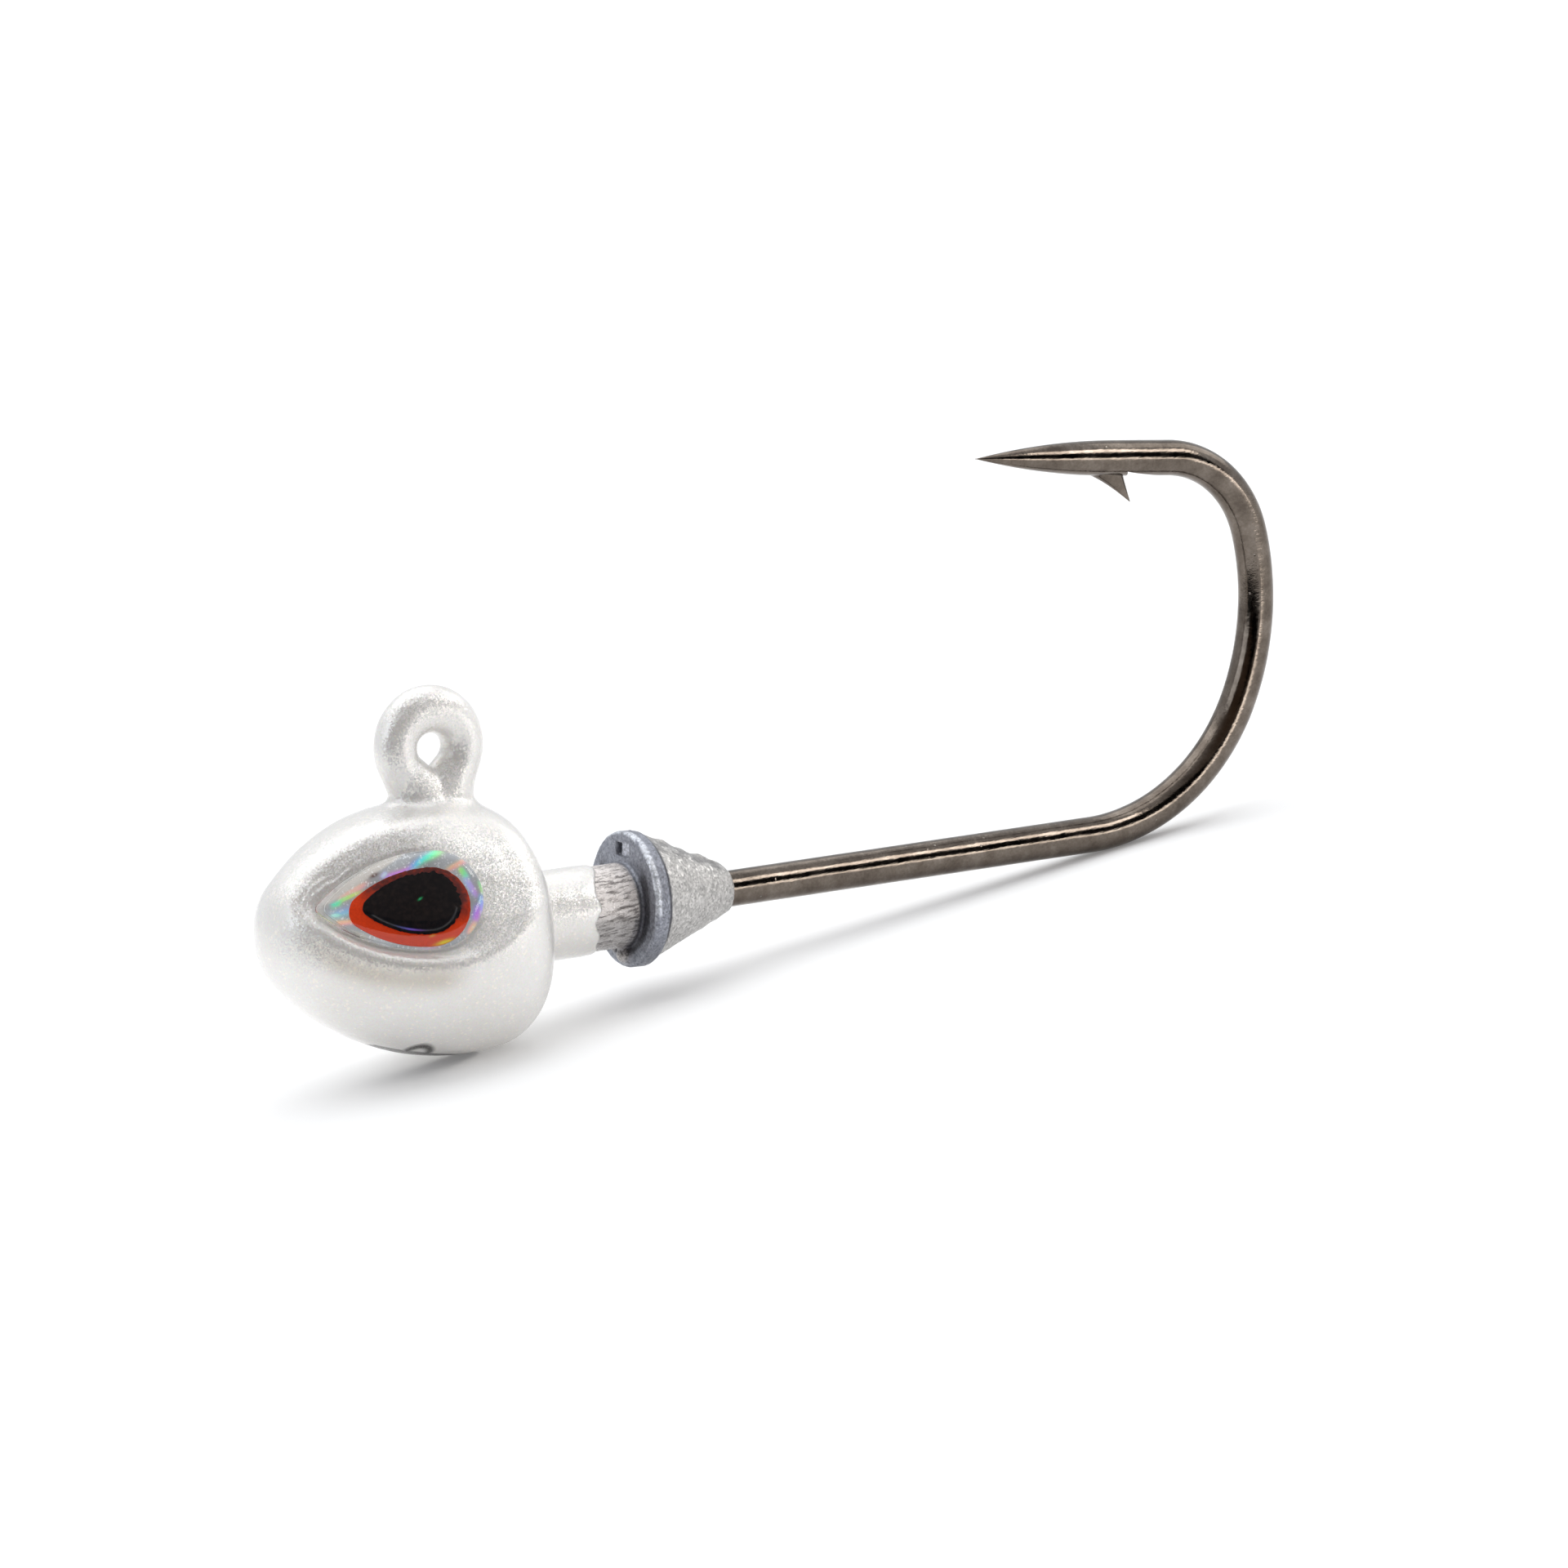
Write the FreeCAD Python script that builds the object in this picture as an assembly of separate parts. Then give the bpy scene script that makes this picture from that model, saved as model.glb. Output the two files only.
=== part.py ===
"""Painted jig head: forged hook, cast lead head with a cone bait keeper, pearl paint and two domed eyes.

Everything is drawn in the shank frame, in millimetres: X runs along the hook's shank from the head to
the bend, Z points to the hook's point, Y = 0 is the plane of the hook, and x = 0 is the line tie's
centre. The finished parts are then turned and lifted onto the surface that the jig stands on, so that
z = 0 is that surface and the origin is the middle of the part's footprint.
"""
import FreeCAD, Part
import math
import os
from FreeCAD import Matrix, Rotation, Vector

# Wire of the hook
WIRE_R = 0.575
SHANK_END_X = 23.68
BEND_ARCS = ((6.58, 63.5), (8.48, 101.5), (3.38, 174.3))  # radius, and the heading where each arc ends
POINT_LEG = 2.05  # straight wire between the bend and the needle point
NEEDLE = 5.2  # length of the ground needle point
NEEDLE_TIP_R = 0.03
NEEDLE_BELLY = 0.75  # share of the wire's radius that is left half way along the point

# Barb, as distances back from the needle's tip and below the wire's centre line
BARB_START = 3.9
BARB_TIP = (5.87, 1.37)
BARB_NOTCH = (5.5, 0.44)
BARB_CUT = ((7.6, 0.66), (5.85, 0.9))  # the other two corners of the wedge that the barb was raised from
BARB_ROOT = 0.3
BARB_WIDTH = 0.56

# Line tie: a ring at the top of a leg that is bent up square to the shank
RING_R = 1.2
RING_Z = 5.82
STRAND_X = 0.6  # each strand's distance from the ring's middle, where they run down side by side
NECK_R = 0.75  # reverse bend between the ring and its strands
ELBOW_R = 1.5
TAIL_END_Z = 2.3
TIE_BORE_R = 0.55
TIE_FOOT = (2.1, 1.2, 0.62)  # paint gathered where the tie leaves the head: two radii and height
TIE_FOOT_SINK = 0.42
TIE_FOOT_SQUASH = 0.72

# Head: nose, cheek and rear arcs turned about the shank, narrowed and lifted towards the nose
NOSE_X = -6.1
REAR_X = 2.78
CROWN_X = -0.2
HEAD_R = 3.96
NOSE_R = 2.5
REAR_R = 1.9
WIDTH_RATIO = 0.95
NOSE_LIFT = 0.55
COAT = 0.1  # paint thickness
SKIM = 0.01  # taken off the rounded rear to make its flat a true plane

# Collar and bait keeper, cast with the head
COLLAR_R = 1.32
COAT_END_X = 5.2
RIM_X = 6.5
RIM_R = 2.13
RIM_LAND = 0.55
RIM_ROUND = 0.22
STEP = 0.12
CONE_TIP_X = 10.15
CONE_TIP_R = 0.7
KEEPER_TILT = 2.5  # rim sits a little high on the shank: the keeper is tipped up about its cone's end
DIMPLE = (0.14, 0.8, 0.46)  # depth, width and height of the mark moulded in the rim's front face
DIMPLE_R = 1.5

# Eyes: teardrops on a flat that faces sideways, a little forward and a little up
EYE_CENTRE = (-2.361, 2.36, 1.518)
EYE_YAW = 19.0
EYE_PITCH = 16.0
BULB_U = 0.85  # from the eye's centre to the middle of a teardrop's round end
# each outline: length, round end's radius, shifts along and across the eye, tip's radius
DOME_SIZE = (5.17, 1.5, 0.04, 0.0, 0.15)
FOIL_SIZE = (4.8, 1.42, 0.06, 0.0, 0.12)
IRIS_SIZE = (3.7, 1.17, -0.08, -0.2, 0.5)
PUPIL_SIZE = (3.0, 0.93, -0.12, -0.1, 0.28)
BROW_SIZE = (6.5, 1.84, 0.78, 0.2, 0.35)  # floor of the recess that the eye sits in
FLANK_RATIO = 3.3  # a teardrop's flank radius over its round end's radius
MIDDLE_SHARE = 0.3  # where an outline shrinks to, from its round end's middle towards its tip
ADHESIVE = 0.06
ADHESIVE_INSET = 0.06
FOIL = 0.06
PRINT = 0.03
DOME_RIM = 0.1
LENS = ((1.0, 0.0), (0.93, 0.16), (0.78, 0.28), (0.4, 0.34))  # share of the rim's size, and rise over it
WALL_LEAN = 0.45  # how far the recess's wall leans out for each unit that it rises
WALL_RISE = 2.4  # enough to pass out of the head

# How the jig stands: the shank falls towards the bend, so that head and bend both touch down
REST_TILT = 7.81

SPAN = 12.0  # side of cutting boxes and length of cutting bores: more than the head measures across
X_AXIS = Vector(1, 0, 0)
Y_AXIS = Vector(0, 1, 0)
Z_AXIS = Vector(0, 0, 1)


# ---------------------------------------------------------------- wire made of straight and curved runs

def rod(start, heading, length, radius):
    """A straight run of round wire in the hook's plane, and the point where it ends."""
    direction = Vector(math.cos(heading), 0, math.sin(heading))
    return Part.makeCylinder(radius, length, start, direction), start + direction * length


def bend(start, heading, bend_r, turn, radius):
    """A bend in round wire: a positive turn goes towards +Z from +X. Gives the solid and its end."""
    side = 1 if turn > 0 else -1
    to_centre = Vector(-math.sin(heading), 0, math.cos(heading)) * (side * bend_r)
    centre = start + to_centre
    section = Part.Wire(Part.makeCircle(radius, start, Vector(math.cos(heading), 0, math.sin(heading))))
    solid = Part.Face(section).revolve(centre, Vector(0, -side, 0), math.degrees(abs(turn)))
    spin = Rotation(Vector(0, -side, 0), math.degrees(abs(turn)))
    return solid, centre + spin.multVec(to_centre * -1)


def union(solids):
    """One clean solid from touching or overlapping ones."""
    return solids[0].multiFuse(solids[1:]).removeSplitter()


# ---------------------------------------------------------------- hook

def ring_runs(radius):
    """The line tie's wire: tail, reverse bend, ring, reverse bend and leg, down to the elbow."""
    drop = math.sqrt((RING_R + NECK_R) ** 2 - (STRAND_X + NECK_R) ** 2)
    lean = math.asin((STRAND_X + NECK_R) / (RING_R + NECK_R))
    neck_z = RING_Z - drop
    pieces = []
    tail, at = rod(Vector(-STRAND_X, 0, TAIL_END_Z), math.pi / 2, neck_z - TAIL_END_Z, radius)
    pieces.append(tail)
    flare = math.pi / 2 - lean
    piece, at = bend(at, math.pi / 2, NECK_R, flare, radius)
    pieces.append(piece)
    piece, at = bend(at, math.pi / 2 + flare, RING_R, -(math.pi + 2 * flare), radius)
    pieces.append(piece)
    piece, at = bend(at, -math.pi / 2 - flare, NECK_R, flare, radius)
    pieces.append(piece)
    leg, at = rod(at, -math.pi / 2, neck_z - ELBOW_R, radius)
    pieces.append(leg)
    return pieces, at


def needle_point(start, heading):
    """The ground point: an arc profile turned about the wire's centre line."""
    half = Vector(NEEDLE / 2, 0, (WIRE_R - NEEDLE_TIP_R) * NEEDLE_BELLY + NEEDLE_TIP_R)
    top = Part.Arc(Vector(0, 0, WIRE_R), half, Vector(NEEDLE, 0, NEEDLE_TIP_R)).toShape()
    tip = Part.makeLine(Vector(NEEDLE, 0, NEEDLE_TIP_R), Vector(NEEDLE, 0, 0))
    axis = Part.makeLine(Vector(NEEDLE, 0, 0), Vector(0, 0, 0))
    back = Part.makeLine(Vector(0, 0, 0), Vector(0, 0, WIRE_R))
    profile = Part.Face(Part.Wire([top, tip, axis, back]))
    solid = profile.revolve(Vector(0, 0, 0), X_AXIS, 360)
    solid.rotate(Vector(0, 0, 0), Vector(0, -1, 0), math.degrees(heading))
    solid.translate(start)
    return solid


def barb_point(tip, heading, distance, depth, y=0.0):
    """A point so far back from the needle's tip, and so deep on the side that faces the shank."""
    back = Vector(-math.cos(heading), 0, -math.sin(heading))
    down = Vector(math.sin(heading), 0, -math.cos(heading))
    if down.z > 0:
        down = down * -1
    return tip + back * distance + down * depth + Vector(0, y, 0)


def barb(tip, heading):
    """The barb, a sliver raised from the side of the wire that faces the shank: a four-sided spike."""
    half = BARB_WIDTH / 2
    foot = []
    back = BARB_NOTCH[0]
    for distance, y in ((BARB_START, -half), (back, -half), (back, half), (BARB_START, half)):
        foot.append(barb_point(tip, heading, distance, BARB_ROOT, y))
    point = barb_point(tip, heading, *BARB_TIP)
    faces = [Part.Face(Part.makePolygon(foot + foot[:1]))]
    for here, there in zip(foot, foot[1:] + foot[:1]):
        faces.append(Part.Face(Part.makePolygon([here, there, point, here])))
    return Part.Solid(Part.Shell(faces))


def barb_notch(tip, heading):
    """The cut that the barb was raised from: a shallow wedge behind it."""
    corners = []
    for distance, depth in (BARB_NOTCH, *BARB_CUT):
        corners.append(barb_point(tip, heading, distance, depth, -SPAN / 2))
    face = Part.Face(Part.makePolygon(corners + corners[:1]))
    return face.extrude(Y_AXIS * SPAN)


def hook():
    """The whole hook: line tie, leg, elbow, shank, three-arc bend, point and barb."""
    pieces, at = ring_runs(WIRE_R)
    elbow, at = bend(at, -math.pi / 2, ELBOW_R, math.pi / 2, WIRE_R)
    pieces.append(elbow)
    shank, at = rod(at, 0, SHANK_END_X - at.x, WIRE_R)
    pieces.append(shank)
    heading = 0.0
    for bend_r, end in BEND_ARCS:
        turn = math.radians(end) - heading
        piece, at = bend(at, heading, bend_r, turn, WIRE_R)
        pieces.append(piece)
        heading = math.radians(end)
    leg, at = rod(at, heading, POINT_LEG, WIRE_R)
    pieces.append(leg)
    pieces.append(needle_point(at, heading))
    tip = at + Vector(math.cos(heading), 0, math.sin(heading)) * NEEDLE
    wire = union(pieces).cut(barb_notch(tip, heading))
    return union([wire, barb(tip, heading)])


# ---------------------------------------------------------------- head

def head_profile(inset):
    """Half outline of the head above the shank, as tangent arcs, with its surface moved in by inset."""
    nose_r = NOSE_R - inset
    rear_r = REAR_R - inset
    cheek_r = ((CROWN_X - NOSE_X - NOSE_R) ** 2 + HEAD_R ** 2 - NOSE_R ** 2) / (2 * (HEAD_R - NOSE_R))
    cheek = Vector(CROWN_X, 0, HEAD_R - cheek_r)
    nose = Vector(NOSE_X + NOSE_R, 0, 0)
    rear_x = REAR_X - REAR_R
    rear_z = cheek.z + math.sqrt((cheek_r - REAR_R) ** 2 - (rear_x - CROWN_X) ** 2)
    rear = Vector(rear_x, 0, rear_z)
    nose_join = nose + (nose - cheek).normalize() * nose_r
    rear_join = rear + (rear - cheek).normalize() * rear_r
    tip = nose - X_AXIS * nose_r
    nose_mid = nose + ((nose_join - nose) + (tip - nose)).normalize() * nose_r
    crown = cheek + Z_AXIS * (cheek_r - inset)
    rear_mid = rear + (X_AXIS + (rear_join - rear).normalize()).normalize() * rear_r
    rear_end = rear + X_AXIS * rear_r
    edges = [Part.Arc(tip, nose_mid, nose_join).toShape()]
    edges.append(Part.Arc(nose_join, crown, rear_join).toShape())
    edges.append(Part.Arc(rear_join, rear_mid, rear_end).toShape())
    foot = Vector(rear_end.x, 0, 0)
    edges.append(Part.makeLine(rear_end, foot))
    edges.append(Part.makeLine(foot, tip))
    return Part.Face(Part.Wire(edges))


def head_form(inset):
    """The head as one closed form, with both eye sockets cut in, its surface moved in by inset."""
    turned = head_profile(inset).revolve(Vector(0, 0, 0), X_AXIS, 360)
    lift = NOSE_LIFT / (REAR_X - NOSE_X)
    shape = Matrix(1, 0, 0, 0, 0, WIDTH_RATIO, 0, 0, -lift, 0, 1, lift * REAR_X, 0, 0, 0, 1)
    form = turned.transformGeometry(shape)
    behind = Part.makeBox(SPAN, SPAN, SPAN, Vector(REAR_X - inset - SKIM, -SPAN / 2, -SPAN / 2))
    form = form.cut(behind)
    for side in (-1, 1):
        form = form.cut(eye_socket(side, inset))
    return form


def collar(radius, end_x):
    """A round collar on the shank, from inside the head to end_x."""
    return Part.makeCylinder(radius, end_x, Vector(0, 0, 0), X_AXIS)


def keeper():
    """Rim and cone of the bait keeper, turned as one and set slightly askew on the shank."""
    land_x = RIM_X + RIM_LAND
    start = Vector(RIM_X, 0, 0)
    corners = [start, Vector(RIM_X, 0, RIM_R - RIM_ROUND), Vector(RIM_X + RIM_ROUND, 0, RIM_R)]
    diagonal = RIM_ROUND * (1 - math.sqrt(0.5))
    round_mid = Vector(RIM_X + diagonal, 0, RIM_R - diagonal)
    edges = [Part.makeLine(corners[0], corners[1])]
    edges.append(Part.Arc(corners[1], round_mid, corners[2]).toShape())
    rest = [corners[2], Vector(land_x, 0, RIM_R), Vector(land_x, 0, RIM_R - STEP)]
    rest += [Vector(CONE_TIP_X, 0, CONE_TIP_R), Vector(CONE_TIP_X, 0, 0), start]
    for a, b in zip(rest, rest[1:]):
        edges.append(Part.makeLine(a, b))
    solid = Part.Face(Part.Wire(edges)).revolve(Vector(0, 0, 0), X_AXIS, 360)
    depth, width, height = DIMPLE
    corner = Vector(RIM_X, -width / 2, DIMPLE_R - height / 2)
    solid = solid.cut(Part.makeBox(depth, width, height, corner))
    solid.rotate(Vector(CONE_TIP_X, 0, 0), Y_AXIS, KEEPER_TILT)
    return solid


def lead_body(wire):
    """The casting: head, collar and keeper in one, poured round the hook."""
    casting = union([head_form(COAT), collar(COLLAR_R, RIM_X + RIM_LAND), keeper()])
    return casting.cut(wire)


def tie_coat():
    """Paint round the line tie: a full ring that bridges the gap between its strands."""
    radius = WIRE_R + COAT
    pieces, _ = ring_runs(radius)
    ring = Part.makeTorus(RING_R, radius, Vector(0, 0, RING_Z), Y_AXIS)
    foot = Part.makeCone(*TIE_FOOT, Vector(0, 0, HEAD_R - TIE_FOOT_SINK), Z_AXIS)
    squash = Matrix()
    squash.scale(Vector(1, TIE_FOOT_SQUASH, 1))
    return union(pieces + [ring, foot.transformGeometry(squash)])


def paint_coat(wire, casting):
    """The pearl paint: a skin over the head, the line tie and the front of the collar."""
    outside = union([head_form(0), collar(COLLAR_R + COAT, COAT_END_X), tie_coat()])
    bore = Part.makeCylinder(TIE_BORE_R, SPAN, Vector(0, -SPAN / 2, RING_Z), Y_AXIS)
    return outside.cut(bore).cut(casting).cut(wire)


# ---------------------------------------------------------------- eyes

def eye_frame(side):
    """Centre, direction along the eye (tip to round end), direction across it, and outward normal."""
    yaw = math.radians(EYE_YAW)
    pitch = math.radians(EYE_PITCH)
    level = math.cos(pitch)
    normal = Vector(-math.sin(yaw) * level, side * math.cos(yaw) * level, math.sin(pitch))
    along = Vector(math.cos(yaw), side * math.sin(yaw), 0)
    across = normal.cross(along) * side
    if across.z < 0:
        across = across * -1
    return Vector(EYE_CENTRE[0], side * EYE_CENTRE[1], EYE_CENTRE[2]), along, across, normal


def teardrop(side, size, grow, height, share=1.0):
    """A round-tipped outline over the eye's flat: moved out by grow, then shrunk to a share of its size."""
    length, bulb_r, shift_u, shift_v, tip_r = size
    centre, along, across, normal = eye_frame(side)
    # a sharp teardrop first, then its outline moved out by the tip's radius and by grow
    r = bulb_r - tip_r
    flank = bulb_r * FLANK_RATIO - tip_r
    tip_u = -(length - bulb_r - tip_r)
    out = tip_r + grow
    # the flank's centre is flank - r from the round end's middle, and flank from the tip
    cu = ((flank - r) ** 2 - flank ** 2 + tip_u ** 2) / (2 * tip_u)
    cv = math.sqrt((flank - r) ** 2 - cu ** 2)
    middle_u = -MIDDLE_SHARE * (length - 2 * bulb_r)

    def on_circle(mu, mv, radius, angle):
        u = middle_u + (mu + radius * math.cos(angle) - middle_u) * share
        v = (mv + radius * math.sin(angle)) * share
        return centre + along * (u + BULB_U + shift_u) + across * (v + shift_v) + normal * height

    def arc(mu, mv, radius, first, last):
        middle = on_circle(mu, mv, radius, (first + last) / 2)
        return Part.Arc(on_circle(mu, mv, radius, first), middle, on_circle(mu, mv, radius, last)).toShape()

    join = math.atan2(cv, -cu)
    start = math.atan2(cv, tip_u - cu)
    upper = arc(cu, -cv, flank + out, start, join)
    bulb = arc(0, 0, r + out, join, -join)
    lower = arc(cu, cv, flank + out, -join, -start)
    tip = arc(tip_u, 0, out, 2 * math.pi - start, start)
    return Part.Wire([upper, bulb, lower, tip])


def teardrop_plate(side, size, low, high, grow=0.0):
    """A flat teardrop plate between two heights above the eye's flat."""
    normal = eye_frame(side)[3]
    return Part.Face(teardrop(side, size, grow, low)).extrude(normal * (high - low))


def eye_socket(side, inset):
    """The recess for an eye: a flat floor and leaning walls that run out of the head, moved in by inset."""
    floor = teardrop(side, BROW_SIZE, inset, -inset)
    mouth = teardrop(side, BROW_SIZE, inset + WALL_LEAN * WALL_RISE, WALL_RISE - inset)
    return Part.makeLoft([floor, mouth], True, True)


def eye_dome(side, under):
    """The clear dome: an upright rim below a lens that rises to the middle, over the printed layers."""
    rim_top = ADHESIVE + FOIL + DOME_RIM
    rim = teardrop_plate(side, DOME_SIZE, ADHESIVE, rim_top)
    sections = [teardrop(side, DOME_SIZE, 0, rim_top + up, share) for share, up in LENS]
    lens = Part.makeLoft(sections, True, False)
    dome = union([rim, lens])
    for layer in under:
        dome = dome.cut(layer)
    return dome


def eye(side):
    """Every layer of one eye: adhesive, holographic foil, iris and pupil prints, and dome."""
    foil_top = ADHESIVE + FOIL
    foil = teardrop_plate(side, FOIL_SIZE, ADHESIVE, foil_top)
    iris = teardrop_plate(side, IRIS_SIZE, foil_top, foil_top + PRINT)
    pupil = teardrop_plate(side, PUPIL_SIZE, foil_top + PRINT, foil_top + 2 * PRINT)
    layers = {}
    layers["adhesive"] = teardrop_plate(side, DOME_SIZE, 0, ADHESIVE, -ADHESIVE_INSET)
    layers["foil"] = foil
    layers["iris"] = iris
    layers["pupil"] = pupil
    layers["dome"] = eye_dome(side, [foil, iris, pupil])
    return layers


# ---------------------------------------------------------------- assembly

def stand(nodes):
    """Turn the nodes to the resting slope, and put the footprint's middle at the origin."""
    for shape in nodes.values():
        shape.rotate(Vector(0, 0, 0), Y_AXIS, REST_TILT)
    box = Part.makeCompound(list(nodes.values())).optimalBoundingBox(True, False)
    shift = Vector(-(box.XMin + box.XMax) / 2, 0, -box.ZMin)
    for shape in nodes.values():
        shape.translate(shift)
    return shift


def main():
    nodes = {}
    nodes["hook"] = hook()
    nodes["lead_body"] = lead_body(nodes["hook"])
    nodes["paint_coat"] = paint_coat(nodes["hook"], nodes["lead_body"])
    for name, side in (("left", -1), ("right", 1)):
        for layer, shape in eye(side).items():
            nodes[f"{name}_eye_{layer}"] = shape
    shift = stand(nodes)
    os.makedirs("parts", exist_ok=True)
    for name, shape in nodes.items():
        solid = shape.Solids[0] if len(shape.Solids) == 1 else shape
        solid.exportStep(f"parts/{name}.step")
        box = shape.optimalBoundingBox(True, False)
        print(name, "solids", len(shape.Solids), "valid", shape.isValid(), "volume", round(shape.Volume, 4),
              "z", round(box.ZMin, 3), round(box.ZMax, 3))
    print("shift", shift)


main()
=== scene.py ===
"""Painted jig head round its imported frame: black-nickel hook, cast lead, pearl paint and two domed eyes.

Shapes are worked out in the shank frame, in millimetres, as the CAD does: X runs along the shank from
the head to the bend, Z points to the hook's point, Y = 0 is the hook's plane, and x = 0 is under the
line tie. to_world() turns them to the resting slope and gives metres.
"""
import bmesh
import bpy
import math
import numpy as np
from mathutils import Matrix, Vector, noise


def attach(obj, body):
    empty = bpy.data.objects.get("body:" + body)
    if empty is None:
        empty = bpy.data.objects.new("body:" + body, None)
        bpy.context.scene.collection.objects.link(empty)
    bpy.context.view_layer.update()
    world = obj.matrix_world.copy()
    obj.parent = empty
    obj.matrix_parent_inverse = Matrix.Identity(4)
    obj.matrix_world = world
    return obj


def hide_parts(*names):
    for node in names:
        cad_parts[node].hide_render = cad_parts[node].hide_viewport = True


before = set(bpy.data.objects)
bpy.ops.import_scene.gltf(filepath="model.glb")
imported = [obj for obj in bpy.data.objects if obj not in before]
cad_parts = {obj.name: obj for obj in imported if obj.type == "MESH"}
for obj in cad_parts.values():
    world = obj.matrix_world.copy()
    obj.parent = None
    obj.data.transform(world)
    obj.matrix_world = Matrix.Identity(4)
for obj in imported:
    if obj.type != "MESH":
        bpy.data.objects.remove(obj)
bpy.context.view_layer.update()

# How the jig stands, as in the CAD
REST_TILT = math.radians(7.81)
REST_SHIFT = (-12.924014, 0.0, 3.853875)
MM = 0.001

# Wire
WIRE_R = 0.575
SHANK_END_X = 23.68
BEND_ARCS = ((6.58, 63.5), (8.48, 101.5), (3.38, 174.3))
POINT_LEG = 2.05
NEEDLE = 5.2
NEEDLE_TIP_R = 0.012
RING_R = 1.2
RING_Z = 5.82
STRAND_X = 0.6
NECK_R = 0.75
ELBOW_R = 1.5
TAIL_END_Z = 2.3

# Head
NOSE_X = -6.1
REAR_X = 2.78
CROWN_X = -0.2
HEAD_R = 3.96
NOSE_R = 2.5
REAR_R = 1.9
WIDTH_RATIO = 0.95
NOSE_LIFT = 0.55
FULLNESS = 2.2  # the head's cross-section bulges a little beyond an ellipse, which would be 2
COAT = 0.1

# Collar and keeper
COLLAR_R = 1.32
COAT_END_X = 5.2
RIM_X = 6.5
RIM_R = 2.13
RIM_LAND = 0.55
STEP = 0.12
CONE_TIP_X = 10.15
CONE_TIP_R = 0.7
KEEPER_TILT = math.radians(2.5)

# Eyes
EYE_CENTRE = (-2.361, 2.36, 1.518)
EYE_YAW = math.radians(19.0)
EYE_PITCH = math.radians(16.0)
BULB_U = 0.85
# each outline: length, round end's radius, shifts along and across, tip's radius
DOME_SIZE = (5.17, 1.5, 0.04, 0.0, 0.15)
FOIL_SIZE = (4.8, 1.42, 0.06, 0.0, 0.12)
IRIS_SIZE = (3.7, 1.17, -0.08, -0.2, 0.5)
PUPIL_SIZE = (3.0, 0.93, -0.12, -0.1, 0.28)
BROW_SIZE = (6.5, 1.84, 0.78, 0.2, 0.35)
FLANK_RATIO = 3.3
ADHESIVE = 0.06
FOIL = 0.06
PRINT = 0.03
FOLD_HEIGHT = 0.02

# Barb: (distance behind the hook's tip, depth from the centre line) where its front and rear leave the wire
BARB_FRONT = (3.8, 0.36)
BARB_REAR = (5.5, 0.30)
BARB_TIP = (5.87, 5.89)  # the distances of its front and rear at its own tip
BARB_DEPTH = 1.41
BARB_HOLLOW = 0.11
BARB_HALF_WIDTH = 0.30

# Mesh detail: boxes, cells and stations in millimetres, and counts round a shape
PAINT_BOX = ((-6.4, -4.1, -4.2), (6.1, 4.1, 7.95))
PAINT_CELL = 0.062
LEAD_BOX = ((-0.2, -2.5, -2.5), (10.4, 2.5, 2.5))
LEAD_CELL = 0.05
SLAB = 16  # grid planes worked out at a time, to save memory
WIRE_STATION = 0.14
NEEDLE_STATION = 0.06
WIRE_SIDES = 56
OUT_OF_ROUND = 0.006
SHARP_EDGE = math.radians(32)
LAYER_SIDES = 128
COLOUR_RINGS = 40
PLAIN_RINGS = 6
DOME_SIDES = 160
DOME_RINGS = 30

# Camera, in the shank frame
VIEW_AZIMUTH = math.radians(-30.0)
VIEW_ELEVATION = math.radians(9.0)
VIEW_ROLL = math.radians(3.0)
VIEW_TARGET = Vector((12.5, 0.0, 3.05))
VIEW_DISTANCE = 280.0
LENS = 204.75  # focal length, on a 36 mm sensor

# Light, in world metres and watts
DARK_SIDE = (-0.60, -0.79, 0.14)  # the direction in which the room is dark
LIGHT_TARGET = (-0.004, 0.0, 0.004)
LIGHTS = (  # name, position, size, power, colour
    ("top_box", (0.02, 0.12, 0.38), (0.52, 0.48), 0.88, (1.0, 1.0, 1.0)),
    ("left_box", (-0.36, -0.06, 0.22), (0.24, 0.24), 0.30, (0.86, 0.93, 1.0)),
    ("right_box", (0.34, 0.02, 0.20), (0.22, 0.22), 0.18, (1.0, 0.98, 0.95)),
)
FRONT_CARDS = (  # name, lower and upper edge in degrees over the horizon, left edge, glow
    ("front_black", 6.0, 40.0, 0.020, 0.0),
    ("front_low_white", -2.4, 6.0, 0.020, 5.0),
    ("front_high_white", 42.0, 60.0, 0.037, 6.0),
)
CARD_R = 0.060  # the cards are arcs of these radii
SIDE_CARD_R = 0.070


# ---- frames

def to_world(points):
    """Shank-frame millimetres to metres in the CAD's frame."""
    x, y, z = np.asarray(points, dtype=float).T
    c, s = math.cos(REST_TILT), math.sin(REST_TILT)
    turned = (x * c + z * s, y, -x * s + z * c)
    return np.stack([value + shift for value, shift in zip(turned, REST_SHIFT)], axis=1) * MM


def turn_world(vector):
    """A direction in the shank frame, turned to the resting slope."""
    return Matrix.Rotation(REST_TILT, 3, "Y") @ Vector(vector)


def eye_axes(side):
    """Centre, direction along the eye from tip to round end, direction across it, and its normal."""
    cp, sp = math.cos(EYE_PITCH), math.sin(EYE_PITCH)
    cy, sy = math.cos(EYE_YAW), math.sin(EYE_YAW)
    normal = np.array([-sy * cp, side * cy * cp, sp])
    along = np.array([cy, side * sy, 0.0])
    across = np.cross(normal, along)
    if across[2] < 0:
        across = -across
    return np.array([EYE_CENTRE[0], side * EYE_CENTRE[1], EYE_CENTRE[2]]), along, across, normal


# ---- fields: negative inside, millimetres

def soft_min(a, b, k):
    """Union of two fields with a fillet about k wide."""
    return np.minimum(a, b) - np.maximum(k - np.abs(a - b), 0.0) ** 2 / (4 * k)


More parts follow.
